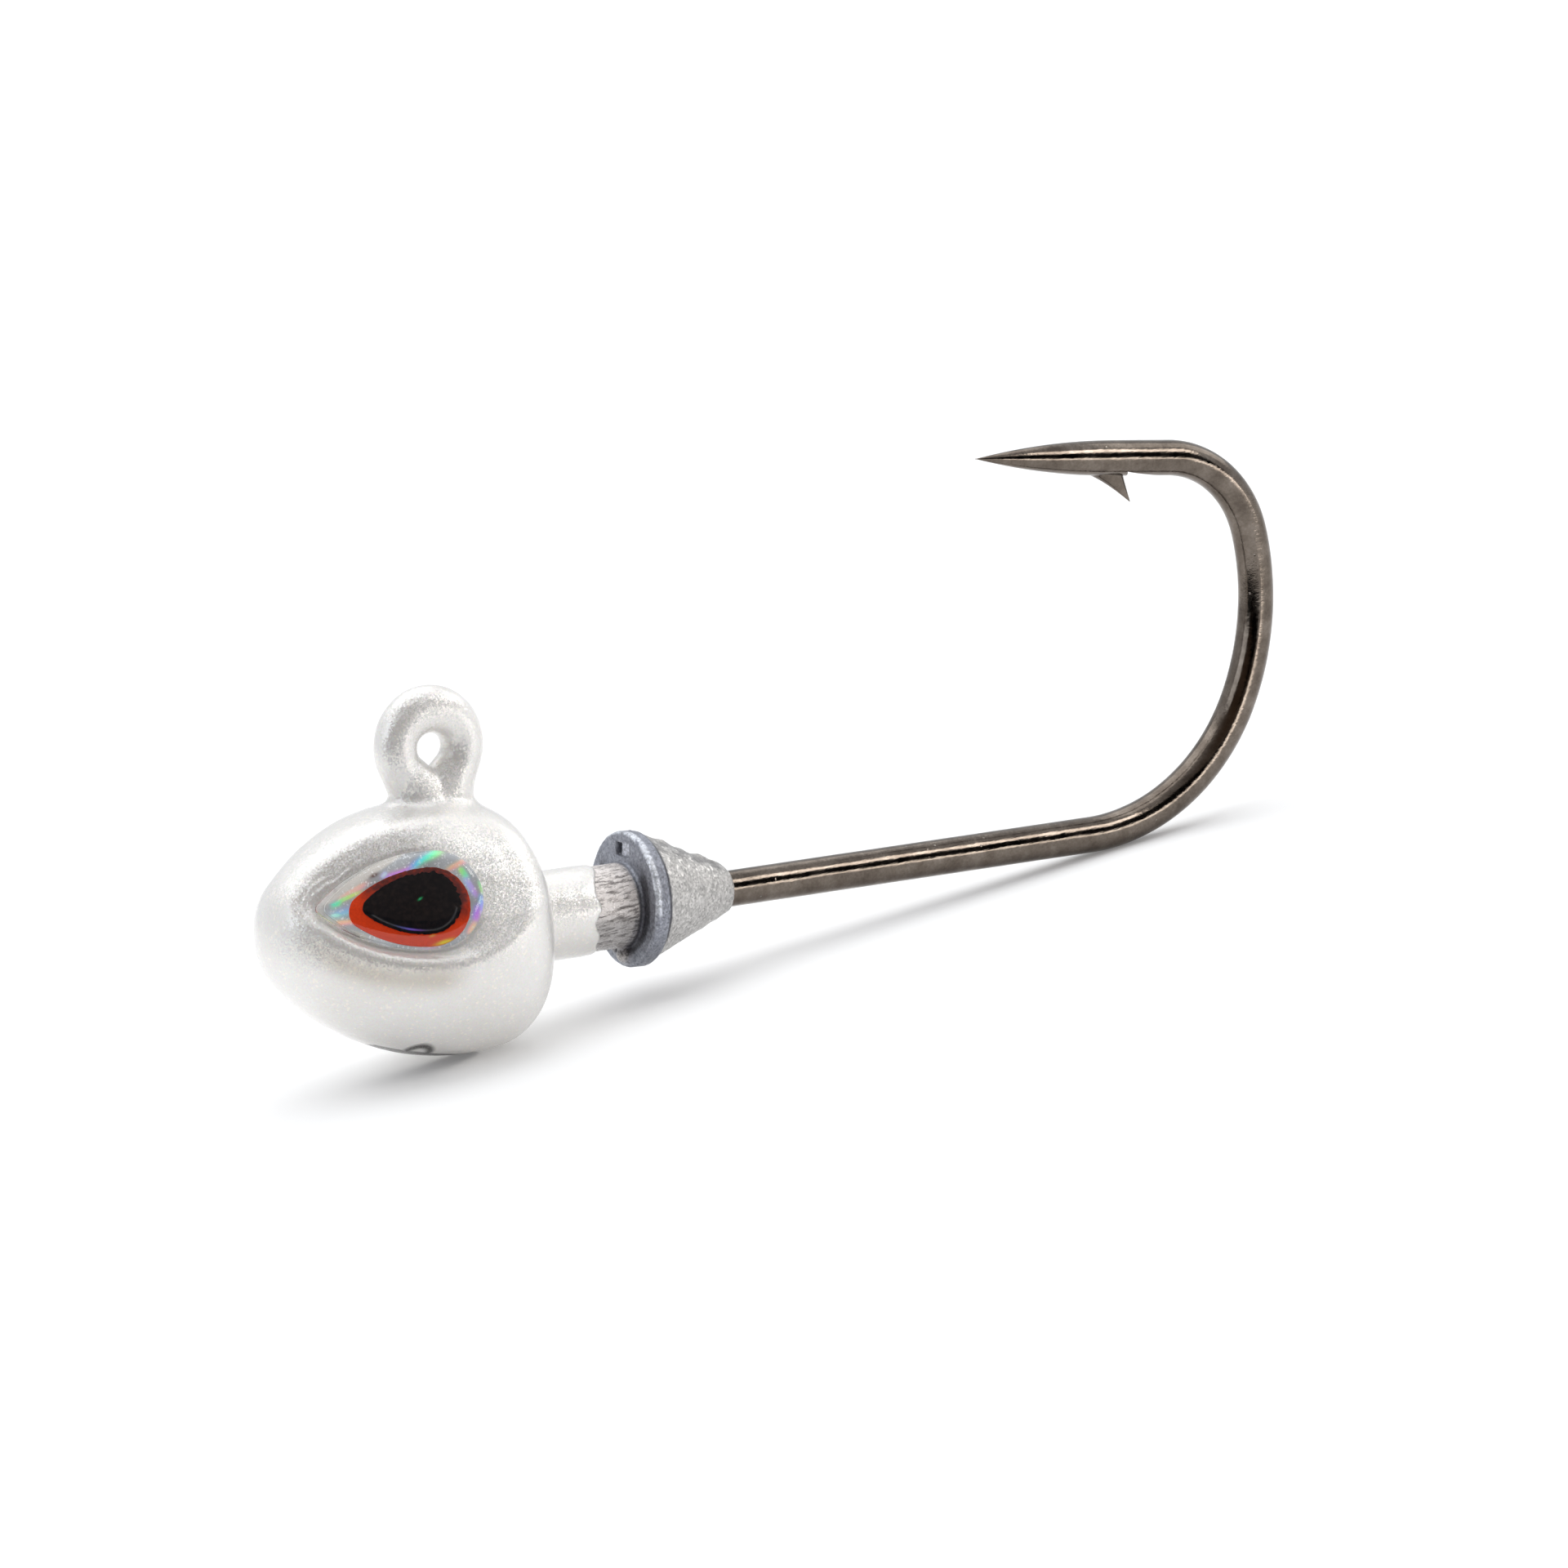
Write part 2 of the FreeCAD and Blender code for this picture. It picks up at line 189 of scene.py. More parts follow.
def soft_max(a, b, k):
    """Overlap of two fields with an edge rounded over about k."""
    return -soft_min(-a, -b, k)


def ease(t):
    """0 up to t = 0, 1 from t = 1, and a smooth step between them."""
    t = np.clip(t, 0, 1)
    return t * t * (3 - 2 * t)


def between(a, b, t):
    """a at t = 0 and b at t = 1."""
    return a + (b - a) * t


def teardrop_arcs(size):
    """A teardrop as a sharp one moved out by its tip's radius: round end, flank, tip and flank centre."""
    length, bulb, _, _, blunt = size
    r = bulb - blunt
    flank = bulb * FLANK_RATIO - blunt
    tip = bulb - length + blunt
    cu = ((flank - r) ** 2 - flank ** 2 + tip ** 2) / (2 * tip)
    return r, flank, tip, cu, math.sqrt((flank - r) ** 2 - cu ** 2)


def teardrop_field(u, v, size):
    """Distance outside a teardrop's outline; u and v are measured from the eye's centre."""
    r, flank, tip, cu, cv = teardrop_arcs(size)
    u = u - BULB_U - size[2]
    v = np.abs(v - size[3])
    to_flank = np.hypot(u - cu, v + cv)
    past_tip = (v + cv) * flank < cv * to_flank
    side = np.where(past_tip & (u < 0), np.hypot(u - tip, v), to_flank - flank)
    return np.where(u * cv + v * cu > 0, np.hypot(u, v) - r, side) - size[4]


def egg_field(x, y, z):
    """The head before the eye sockets are sunk: nose, cheek and rear arcs turned about the shank."""
    z = z - NOSE_LIFT * (REAR_X - x) / (REAR_X - NOSE_X)
    r = (np.abs(y / WIDTH_RATIO) ** FULLNESS + np.abs(z) ** FULLNESS) ** (1 / FULLNESS)
    nose_x = NOSE_X + NOSE_R
    cheek_r = ((CROWN_X - nose_x) ** 2 + HEAD_R ** 2 - NOSE_R ** 2) / (2 * (HEAD_R - NOSE_R))
    cheek_z = HEAD_R - cheek_r
    rear_x = REAR_X - REAR_R
    rear_z = cheek_z + math.sqrt((cheek_r - REAR_R) ** 2 - (rear_x - CROWN_X) ** 2)
    angle = np.arctan2(r - cheek_z, x - CROWN_X)
    d_nose = np.hypot(x - nose_x, r) - NOSE_R
    d_cheek = np.hypot(x - CROWN_X, r - cheek_z) - cheek_r
    d_rear = np.hypot(np.maximum(x - rear_x, 0), np.maximum(r - rear_z, 0)) - REAR_R
    d_rear = np.where(r < rear_z, x - REAR_X, d_rear)
    d = np.where(angle > math.atan2(-cheek_z, nose_x - CROWN_X), d_nose, d_cheek)
    return np.where(angle < math.atan2(rear_z - cheek_z, rear_x - CROWN_X), d_rear, d)


def eye_uvw(x, y, z):
    """Coordinates along, across and out of the eye on the point's own side."""
    centre, along, across, normal = eye_axes(1)
    dx, dy, dz = x - centre[0], np.abs(y) - centre[1], z - centre[2]
    return [dx * axis[0] + dy * axis[1] + dz * axis[2] for axis in (along, across, normal)]


def sunk_head(x, y, z):
    """The head with its eye sockets: a wide dish with a soft brow over it, and the dome's close pocket."""
    u, v, w = eye_uvw(x, y, z)
    outside = teardrop_field(u, v, DOME_SIZE)
    rise = w - 0.03 + 0.12 * np.maximum(outside, 0) ** 2
    wall = (teardrop_field(u, v, BROW_SIZE) - 0.45 * rise) * 0.88
    softness = 0.45 + 0.35 * np.clip((v + 0.6) / 1.6, 0, 1)
    softness = softness + 0.9 * ease((u - 0.4) / 2.4) * ease((v + 1.9) / 2.2)
    head = soft_max(egg_field(x, y, z), -soft_max(-rise, wall, 0.3), softness)
    # two folds where the paint has crept between the dome and the brow, near the eye's tip
    wander = outside - 0.19 - 0.06 * np.sin(4.5 * u + 1.0) - 0.015 * np.sin(13 * u)
    fold = np.exp(-(wander / 0.05) ** 2) + 0.6 * np.exp(-((wander - 0.19) / 0.05) ** 2)
    near_tip = np.clip((-1.0 - u) / 0.8, 0, 1) * np.clip((v + 0.35) / 0.3, 0, 1)
    near_tip = near_tip * (outside < 0.6) * (outside > -0.1)
    head = head - FOLD_HEIGHT * fold * near_tip
    pocket = np.maximum(-0.02 - w, (outside - 0.07 - 0.3 * w) * 0.95)
    return soft_max(head, -pocket, 0.09)


def tie_field(x, y, z):
    """Painted line tie: a drop-shaped hole in a rounded plate whose outline is the ring on its neck."""
    dz = z - RING_Z
    ax = np.hypot(x, 0.05)
    skin = WIRE_R + COAT
    pooled = skin + 0.09 * np.clip((dz + 0.9) / 0.9, 0, 1) - 0.03
    neck_x = STRAND_X + NECK_R
    neck_z = -math.sqrt((RING_R + NECK_R) ** 2 - neck_x ** 2)
    # the hole: the ring's inner circle, closed below by the two reverse bends
    round_top = np.hypot(x, dz * np.where(dz > 0, 1.2, 1.0)) - (RING_R - pooled)
    bends = NECK_R + pooled - np.hypot(ax - neck_x, np.maximum(dz, neck_z) - neck_z)
    hole = np.where(-ax * neck_z + dz * neck_x < 0, bends, round_top)
    hole = np.where(dz < neck_z, np.maximum(hole, 0.1), hole)
    ring = np.hypot(x * 1.02, dz) - (RING_R + skin - 0.01)
    neck = np.maximum(ax - (STRAND_X + skin + 0.02), dz)
    sheet = np.maximum(soft_min(ring, neck, 0.45), -hole)
    half_width = 0.72
    body = np.hypot(np.maximum(sheet + half_width, 0) * (skin - 0.02) / half_width, y) - (skin - 0.02)
    # paint that filled the gap between the two strands under the hole
    fill = (np.hypot(np.hypot(x / 0.95, y / 0.80), (dz + 1.90) / 0.9) - 1) * 0.6
    return np.maximum(soft_min(body, fill, 0.6), TAIL_END_Z - z)


def ragged(angle):
    """How the paint's edge wanders round the collar."""
    wander = 0.22 * np.cos(2 * angle) + 0.08 * np.cos(angle)
    for n, (size, phase) in enumerate(((0.05, 0.4), (0.04, 2.1), (0.035, 4.4), (0.03, 1.3), (0.03, 5.2))):
        wander = wander + size * np.sin((2 * n + 3) * angle + phase)
    return wander


def paint_field(x, y, z):
    """All of the paint's outside: head with sockets, line tie and the front of the collar."""
    head = sunk_head(x, y, z)
    body = soft_min(head, tie_field(x, y, z), 0.38)
    r = np.hypot(y, z)
    end = x - (COAT_END_X - 0.1 + ragged(np.arctan2(y, z)))
    sleeve = soft_max(r - (COLLAR_R + COAT) + 0.06 * np.clip(end + 0.5, 0, 1), end, 0.16)
    sleeve = np.maximum(sleeve, -x)
    return soft_min(body, sleeve, 0.3)


def keeper_frame(x, z):
    """Coordinates in the keeper's own frame: it is tipped up a little about its cone's end."""
    c, s = math.cos(KEEPER_TILT), math.sin(KEEPER_TILT)
    back = x - CONE_TIP_X
    return CONE_TIP_X + back * c - z * s, back * s + z * c


def lead_field(x, y, z):
    """Collar, keeper rim and cone, with the moulded mark, parting flash and lumps of a rough casting."""
    collar = np.maximum(np.hypot(y, z) - COLLAR_R, np.maximum(-x, x - RIM_X - 0.2))
    x, z = keeper_frame(x, z)
    r = np.hypot(y, z)
    land = RIM_X + RIM_LAND
    rim = soft_max(np.maximum(RIM_X - x, x - land), r - RIM_R, 0.13)
    slope = math.atan2(RIM_R - STEP - CONE_TIP_R, CONE_TIP_X - land)
    side = (r - CONE_TIP_R) * math.cos(slope) + (x - CONE_TIP_X) * math.sin(slope)
    flash = 0.085 * np.exp(-(y / 0.13) ** 2) * (0.75 + 0.35 * np.sin(4.1 * x + 0.6) + 0.25 * np.sin(9.7 * x))
    cone = soft_max(side - flash, np.maximum(land - 0.3 - x, x - CONE_TIP_X), 0.12)
    keeper = soft_min(rim, cone, 0.03)
    body = soft_min(collar, keeper, 0.08)
    mark = np.maximum(np.abs(x - RIM_X) - 0.13, np.maximum(np.abs(y) - 0.4, np.abs(z - 1.56) - 0.21))
    slot = np.maximum(np.abs(x - RIM_X) - 0.3, np.maximum(np.abs(y - 0.33) - 0.075, np.abs(z - 1.58) - 0.17))
    body = soft_max(body, -np.minimum(mark, slot), 0.05)
    lump = np.hypot(np.hypot(x - RIM_X + 0.02, y * 0.7 + 0.12), z + 1.72) - 0.27
    lump = np.minimum(lump, np.hypot(np.hypot(x - RIM_X, y - 0.42), z + 1.55) - 0.2)
    return soft_min(body, lump, 0.16)


# ---- mesh from a field

def surface_nets(field, box, cell):
    """Vertices, quads and outward normals of field = 0 in a box: one vertex per cell, on the surface."""
    low, high = box
    axes = [np.arange(a, b + cell, cell) for a, b in zip(low, high)]
    shape = [len(a) for a in axes]
    values = np.empty(shape, dtype=np.float32)
    for i in range(0, shape[0], SLAB):
        x, y, z = np.meshgrid(axes[0][i:i + SLAB], axes[1], axes[2], indexing="ij")
        values[i:i + SLAB] = field(x, y, z)
    inside = values < 0
    count = np.zeros([n - 1 for n in shape], dtype=np.int8)
    corners = [(i, j, k) for i in (0, 1) for j in (0, 1) for k in (0, 1)]
    for i, j, k in corners:
        count += inside[i:shape[0] - 1 + i, j:shape[1] - 1 + j, k:shape[2] - 1 + k]
    active = (count > 0) & (count < 8)
    cells = np.argwhere(active)
    index = np.full(count.shape, -1, dtype=np.int64)
    index[active] = np.arange(len(cells))
    # each vertex starts at the mean of the crossings on its cell's edges
    total = np.zeros((len(cells), 3))
    hits = np.zeros(len(cells))
    for corner in corners:
        for axis in range(3):
            if corner[axis]:
                continue
            a = cells + corner
            b = a.copy()
            b[:, axis] += 1
            va = values[tuple(a.T)].astype(float)
            vb = values[tuple(b.T)].astype(float)
            crossed = (va < 0) != (vb < 0)
            t = np.where(crossed, va / np.where(crossed, va - vb, 1), 0)
            spot = a.astype(float)
            spot[:, axis] += t
            total += spot * crossed[:, None]
            hits += crossed
    points = total / hits[:, None] * cell + np.array(low)
    # then it is moved along the slope until it lies on the surface
    for _ in range(3):
        value, slope = sample(field, points, cell * 0.25)
        step = value / np.maximum((slope ** 2).sum(axis=1), 0.05)
        points = points - np.clip(step, -cell, cell)[:, None] * slope
    _, slope = sample(field, points, cell * 0.25)
    normals = slope / np.linalg.norm(slope, axis=1)[:, None]
    # one quad across every grid edge that the surface crosses
    quads = []
    for axis in range(3):
        b, c = (axis + 1) % 3, (axis + 2) % 3
        lower = [slice(None)] * 3
        upper = [slice(None)] * 3
        lower[axis], upper[axis] = slice(0, -1), slice(1, None)
        first = inside[tuple(lower)]
        edges = np.argwhere(first != inside[tuple(upper)])
        for k in (b, c):
            edges = edges[(edges[:, k] > 0) & (edges[:, k] < shape[k] - 1)]
        around = []
        for back_b, back_c in ((0, 0), (1, 0), (1, 1), (0, 1)):
            cell_at = edges.copy()
            cell_at[:, b] -= back_b
            cell_at[:, c] -= back_c
            around.append(index[tuple(cell_at.T)])
        quad = np.stack(around, axis=1)
        outward = first[tuple(edges.T)]
        quads.append(np.where(outward[:, None], quad, quad[:, ::-1]))
    return points, np.concatenate(quads), normals


def sample(field, points, h):
    """The field and its slope at points."""
    value = field(*points.T)
    slope = np.empty_like(points)
    for axis in range(3):
        ahead, behind = points.copy(), points.copy()
        ahead[:, axis] += h
        behind[:, axis] -= h
        slope[:, axis] = (field(*ahead.T) - field(*behind.T)) / (2 * h)
    return value, slope


def fractal(points, scale, octaves):
    """Perlin noise summed over octaves at each point, about -1 to 1."""
    return np.array([noise.fractal(Vector(p) * scale, 1.0, 2.0, octaves) for p in points])


# ---- objects

def place_in_scene(name, data):
    """A new object with this data, in the scene."""
    obj = bpy.data.objects.new(name, data)
    bpy.context.scene.collection.objects.link(obj)
    return obj


def add_object(name, verts, faces, node=None, slot=None, material=None):
    """A mesh in world metres. With a node, it stands for that CAD node and rides on root; the slot argument
    is not used.
    """
    mesh = bpy.data.meshes.new(name)
    faces = [tuple(int(i) for i in f) for f in faces]
    mesh.from_pydata([tuple(p) for p in to_world(verts)], [], faces)
    mesh.validate()
    mesh.polygons.foreach_set("use_smooth", [True] * len(mesh.polygons))
    mesh.update()
    obj = place_in_scene(name, mesh)
    if material:
        mesh.materials.append(material)
    if node:
        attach(obj, "root")
        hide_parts(node)
    return obj


def loft(rings):
    """Vertices and faces of a closed skin through equal rings of points."""
    n = len(rings[0])
    verts = [p for ring in rings for p in ring]
    faces = []
    for i in range(len(rings) - 1):
        for j in range(n):
            k = (j + 1) % n
            faces.append((i * n + j, i * n + k, (i + 1) * n + k, (i + 1) * n + j))
    faces.append(tuple(range(n))[::-1])
    faces.append(tuple((len(rings) - 1) * n + j for j in range(n)))
    return verts, faces


# ---- hook

def wire_path():
    """The wire's centre line as (x, z, heading, distance), and the distance where its point starts."""
    drop = math.sqrt((RING_R + NECK_R) ** 2 - (STRAND_X + NECK_R) ** 2)
    flare = math.pi / 2 - math.asin((STRAND_X + NECK_R) / (RING_R + NECK_R))
    neck_z = RING_Z - drop
    # runs of the wire: (0, length) where it is straight, (radius, turn) where it bends
    runs = [(0, neck_z - TAIL_END_Z), (NECK_R, flare), (RING_R, -(math.pi + 2 * flare)), (NECK_R, flare)]
    runs += [(0, neck_z - ELBOW_R), (ELBOW_R, math.pi / 2), (0, SHANK_END_X - ELBOW_R - STRAND_X)]
    turned = 0.0
    for radius, end in BEND_ARCS:
        runs.append((radius, math.radians(end) - turned))
        turned = math.radians(end)
    runs.append((0, POINT_LEG))
    runs.append((0, NEEDLE))
    x, z, heading, travelled = -STRAND_X, TAIL_END_Z, math.pi / 2, 0.0
    stations = [(x, z, heading, travelled)]
    for number, (radius, amount) in enumerate(runs):
        last = number == len(runs) - 1
        if last:
            point_start = travelled
        length = abs(amount) * (radius if radius else 1)
        steps = max(2, math.ceil(length / (NEEDLE_STATION if last else WIRE_STATION)))
        for _ in range(steps):
            if radius:
                turn = amount / steps
                chord = 2 * radius * math.sin(abs(turn) / 2)
                x += chord * math.cos(heading + turn / 2)
                z += chord * math.sin(heading + turn / 2)
                heading += turn
            else:
                x += amount / steps * math.cos(heading)
                z += amount / steps * math.sin(heading)
            travelled += length / steps
            stations.append((x, z, heading, travelled))
    return stations, point_start


def wire_radius(s, point_start):
    """Full wire as far as the point's start, then the ground ogive of the point."""
    t = min(1.0, max(0.0, (s - point_start) / NEEDLE))
    return max(NEEDLE_TIP_R, WIRE_R * (1 - t * t))


def hook_mesh():
    """The wire's skin, a hair out of round, and its tip's place()."""
    stations, point_start = wire_path()
    rings = []
    for x, z, heading, s in stations:
        r = wire_radius(s, point_start)
        nx, nz = -math.sin(heading), math.cos(heading)
        ring = []
        for k in range(WIRE_SIDES):
            a = 2 * math.pi * k / WIRE_SIDES
            c, d = math.cos(a), math.sin(a)
            rr = r * (1 + OUT_OF_ROUND * noise.noise(Vector((s * 0.9, c * 1.5, d * 1.5))))
            ring.append((x + nx * rr * c, rr * d, z + nz * rr * c))
        rings.append(ring)
    return loft(rings), behind_tip(*stations[-1][:3])


def behind_tip(x, z, heading):
    """Gives place(distance behind the hook's tip, y, depth from the centre line towards the shank)."""
    back = (-math.cos(heading), -math.sin(heading))
    down = (math.sin(heading), -math.cos(heading))
    if down[1] > 0:
        down = (-down[0], -down[1])

    def place(distance, y, depth):
        return x + back[0] * distance + down[0] * depth, y, z + back[1] * distance + down[1] * depth
    return place


def barb_mesh(place):
    """The raised barb: oval sections that shrink along a slightly hollow thorn."""
    rings = []
    sections, sides = 15, 20
    for k in range(sections):
        t = k / (sections - 1)
        front = between(BARB_FRONT[0], BARB_TIP[0], t)
        front_depth = between(BARB_FRONT[1], BARB_DEPTH, t) - BARB_HOLLOW * math.sin(math.pi * t)
        rear = between(BARB_REAR[0], BARB_TIP[1], t ** 1.2)
        rear_depth = between(BARB_REAR[1], BARB_DEPTH, t)
        half = BARB_HALF_WIDTH * (1 - t) ** 0.8 + 0.004
        ring = []
        for j in range(sides):
            a = 2 * math.pi * j / sides
            f = 0.5 + 0.5 * math.cos(a)
            y = half * math.sin(a)
            ring.append(place(between(front, rear, f), y, between(front_depth, rear_depth, f)))
        rings.append(ring)
    return loft(rings)


def notch_mesh(place):
    """Cutter for the shallow scoop behind the barb, where the blade that raised it went in."""
    steps = 12
    profile = []
    for k in range(steps + 1):
        t = k / steps
        profile.append((BARB_REAR[0] + 2.1 * t, 0.41 + 0.22 * t ** 0.8))
    profile += [(7.6, 0.95), (6.1, 1.2)]
    return loft([[place(a, y, b) for a, b in profile] for y in (-1.0, 1.0)])


def make_hook(material):
    """The wire, with the scoop cut out of it and the barb joined on."""
    skin, place = hook_mesh()
    hook = add_object("hook_wire", *skin, "hook", "hook_wire")
    tools = []
    for name, skin, how in (("tool_notch", notch_mesh(place), "DIFFERENCE"),
                            ("tool_barb", barb_mesh(place), "UNION")):
        tool = add_object(name, *skin)
        recalc(tool)
        modifier = hook.modifiers.new(name, "BOOLEAN")
        modifier.operation = how
        modifier.object = tool
        modifier.solver = "EXACT"
        tools.append(tool)
    recalc(hook)
    finished = bpy.data.meshes.new_from_object(hook.evaluated_get(bpy.context.evaluated_depsgraph_get()))
    hook.modifiers.clear()
    hook.data = finished
    for tool in tools:
        bpy.data.objects.remove(tool, do_unlink=True)
    finished.materials.clear()
    finished.materials.append(material)
    finished.polygons.foreach_set("use_smooth", [True] * len(finished.polygons))
    finished.set_sharp_from_angle(angle=SHARP_EDGE)


def recalc(obj):
    """Turn every face outwards."""
    bm = bmesh.new()
    bm.from_mesh(obj.data)
    bmesh.ops.recalc_face_normals(bm, faces=bm.faces)
    bm.to_mesh(obj.data)
    bm.free()


# ---- eyes

def outline(size, count, grow=0.0):
    """Points round a teardrop, anticlockwise from its round end, in eye coordinates, and its middle."""
    r, flank, tip, cu, cv = teardrop_arcs(size)
    out = size[4] + grow
    join = math.atan2(cv, -cu)
    start = math.atan2(cv, tip - cu)
    # each arc: centre, radius, and the angles where it starts and ends
    arcs = (((0.0, 0.0), r + out, 0.0, join),
            ((cu, -cv), flank + out, join, start),
            ((tip, 0.0), out, start, math.pi))
    lengths = [radius * (b - a) for _, radius, a, b in arcs]
    points = []
    half = count // 2
    for k in range(half + 1):
        s = sum(lengths) * k / half
        for ((cx, cy), radius, a, b), length in zip(arcs, lengths):
            if s <= length or radius == out:
                angle = min(b, a + s / radius) if radius > 0 else b
                points.append((cx + radius * math.cos(angle), cy + radius * math.sin(angle)))
                break
            s -= length
    points += [(u, -v) for u, v in points[-2:0:-1]]
    shift = (BULB_U + size[2], size[3])
    middle = (-0.3 * (size[0] - 2 * size[1]) + shift[0], shift[1])
    return [(u + shift[0], v + shift[1]) for u, v in points], middle


def shrink(points, middle, t):
    """Points moved towards the middle, to t of their distance from it."""
    return [(middle[0] + (u - middle[0]) * t, middle[1] + (v - middle[1]) * t) for u, v in points]


def eye_skin(side, layers):
    """A closed skin through rings of (u, v, w) points on one eye, with its faces turned outwards."""
    centre, along, across, normal = eye_axes(side)
    rings = [[tuple(centre + along * u + across * v + normal * w) for u, v, w in layer] for layer in layers]
    verts, faces = loft(rings)
    if np.dot(np.cross(along, across), normal) < 0:
        faces = [f[::-1] for f in faces]
    return verts, faces


def plate(side, size, low, high, rough, rings, grow):
    """A thin layer of the eye, its top a set of shrinking rings, and the (u, v, w) of its points."""
    rim, middle = outline(size, LAYER_SIDES, grow)
    edge = []
    for u, v in rim:
        a = math.atan2(v - middle[1], u - middle[0])
        wobble = 0.0
        if rough:
            upper = max(0.0, math.cos(a - 0.75)) ** 0.7
            coarse = noise.noise(Vector((u * 9, v * 9, 3.1)))
            wobble = rough * (0.25 + upper) * (coarse + 0.7 * noise.noise(Vector((u * 22, v * 22, 7.7))))
        edge.append((u + math.cos(a) * wobble, v + math.sin(a) * wobble))
    layers = [[(u, v, low) for u, v in edge], [(u, v, high - 0.004) for u, v in edge]]
    for k in range(rings):
        t = 1 - (k / rings) * 0.96 if k else 0.995
        layers.append([(u, v, high) for u, v in shrink(edge, middle, t)])
    return eye_skin(side, layers), [p for layer in layers for p in layer]


def dome_height(inside):
    """How far the clear lens stands over its rim, for a distance in from its edge."""
    t = np.clip(inside / 0.95, 0, 1)
    return 0.30 * np.sqrt(np.clip(1 - (1 - t) ** 2.6, 0, 1)) + 0.05 * np.clip(inside / 1.5, 0, 1)


def dome(side, low, rim_top):
    """The clear lens: rings from a rounded edge to the middle, as high as a drop of resin stands."""
    rim, middle = outline(DOME_SIZE, DOME_SIDES)
    layers = [[(u, v, low) for u, v in shrink(rim, middle, 0.97)], [(u, v, low + 0.02) for u, v in rim]]
    for k in range(DOME_RINGS):
        t = 1 - (k / DOME_RINGS) ** 1.35 * 0.985
        layer = []
        for u, v in shrink(rim, middle, t):
            inside = -float(teardrop_field(np.array([u]), np.array([v]), DOME_SIZE)[0])
            layer.append((u, v, rim_top + float(dome_height(inside))))
        layers.append(layer)
    return eye_skin(side, layers)


def paint_vertices(obj, name, colours):
    """Store a colour on each vertex."""
    layer = obj.data.color_attributes.new(name, "FLOAT_COLOR", "POINT")
    flat = np.ones((len(obj.data.vertices), 4))
    flat[:, :3] = colours
    layer.data.foreach_set("color", flat.ravel())


def rainbow(hue):
    """Soft spectral colour for a hue, with 0 red, 1/3 green and 2/3 blue."""
    hue = np.asarray(hue)
    return np.stack([0.5 + 0.5 * np.cos(2 * np.pi * (hue - k / 3)) for k in range(3)], axis=-1)


# ---- materials

class Graph:
    """A material's node tree, with short calls for the nodes that repeat. Its textures are in millimetres."""

    def __init__(self, name):
        self.material = bpy.data.materials.new(name)
        self.material.use_nodes = True
        self.tree = self.material.node_tree
        self.tree.nodes.clear()
        self.out = self.add("OutputMaterial")
        self.shader = self.add("BsdfPrincipled")
        self.link(self.shader.outputs[0], self.out.inputs["Surface"])
        scaled = self.add("VectorMath")
        scaled.operation = "SCALE"
        scaled.inputs["Scale"].default_value = 1000.0
        self.link(self.add("TexCoord").outputs["Object"], scaled.inputs[0])
        self.mm = scaled.outputs[0]

    def add(self, kind):
        return self.tree.nodes.new("ShaderNode" + kind)

    def link(self, a, b):
        self.tree.links.new(a, b)

    def put(self, socket, value):
        if hasattr(value, "links"):
            self.link(value, socket)
        else:
            socket.default_value = value

    def set(self, **values):
        for key, value in values.items():
            self.put(self.shader.inputs[key.replace("_", " ")], value)

    def noise(self, scale, detail=3.0, rough=0.5, vector=None):
        n = self.add("TexNoise")
        for key, value in (("Scale", scale), ("Detail", detail), ("Roughness", rough)):
            n.inputs[key].default_value = value
        self.link(vector or self.mm, n.inputs["Vector"])
        return n.outputs["Fac"]

    def cells(self, scale):
        n = self.add("TexVoronoi")
        n.inputs["Scale"].default_value = scale
        self.link(self.mm, n.inputs["Vector"])
        return n.outputs

    def math(self, operation, a, b):
        n = self.add("Math")
        n.operation = operation
        self.put(n.inputs[0], a)
        self.put(n.inputs[1], b)
        return n.outputs[0]

    def times(self, a, b):
        return self.math("MULTIPLY", a, b)

    def vector_math(self, operation, a, b=(0, 0, 0)):
        n = self.add("VectorMath")
        n.operation = operation
        self.put(n.inputs[0], a)
        self.put(n.inputs[1], b)
        return n.outputs["Value"] if operation == "DOT_PRODUCT" else n.outputs[0]

    def scaled(self, vector, factors):
        return self.vector_math("MULTIPLY", vector, factors)

    def dot(self, a, b):
        return self.vector_math("DOT_PRODUCT", a, b)

    def ramp(self, value, *stops):
        n = self.add("ValToRGB")
        while len(n.color_ramp.elements) < len(stops):
            n.color_ramp.elements.new(0.5)
        for element, (at, colour) in zip(n.color_ramp.elements, stops):
            element.position = at
            element.color = (*colour, 1) if isinstance(colour, tuple) else (colour, colour, colour, 1)
        self.put(n.inputs[0], value)
        return n.outputs[0]

    def mix(self, factor, a, b, blend="MIX"):
        n = self.add("Mix")
        n.data_type = "RGBA"
        n.blend_type = blend
        self.put(n.inputs[0], factor)
        for socket, value in ((n.inputs[6], a), (n.inputs[7], b)):
            self.put(socket, (*value, 1) if isinstance(value, tuple) else value)
        return n.outputs[2]

    def range(self, value, low, high, out_low=0.0, out_high=1.0):
        n = self.add("MapRange")
        for socket, v in zip(n.inputs, (value, low, high, out_low, out_high)):
            self.put(socket, v)
        return n.outputs[0]

    def bump(self, height, distance, strength):
        n = self.add("Bump")
        n.inputs["Strength"].default_value = strength
        n.inputs["Distance"].default_value = distance
        self.link(height, n.inputs["Height"])
        return n.outputs[0]

    def attribute(self, name):
        n = self.add("Attribute")
        n.attribute_name = name
        return n.outputs["Color"]


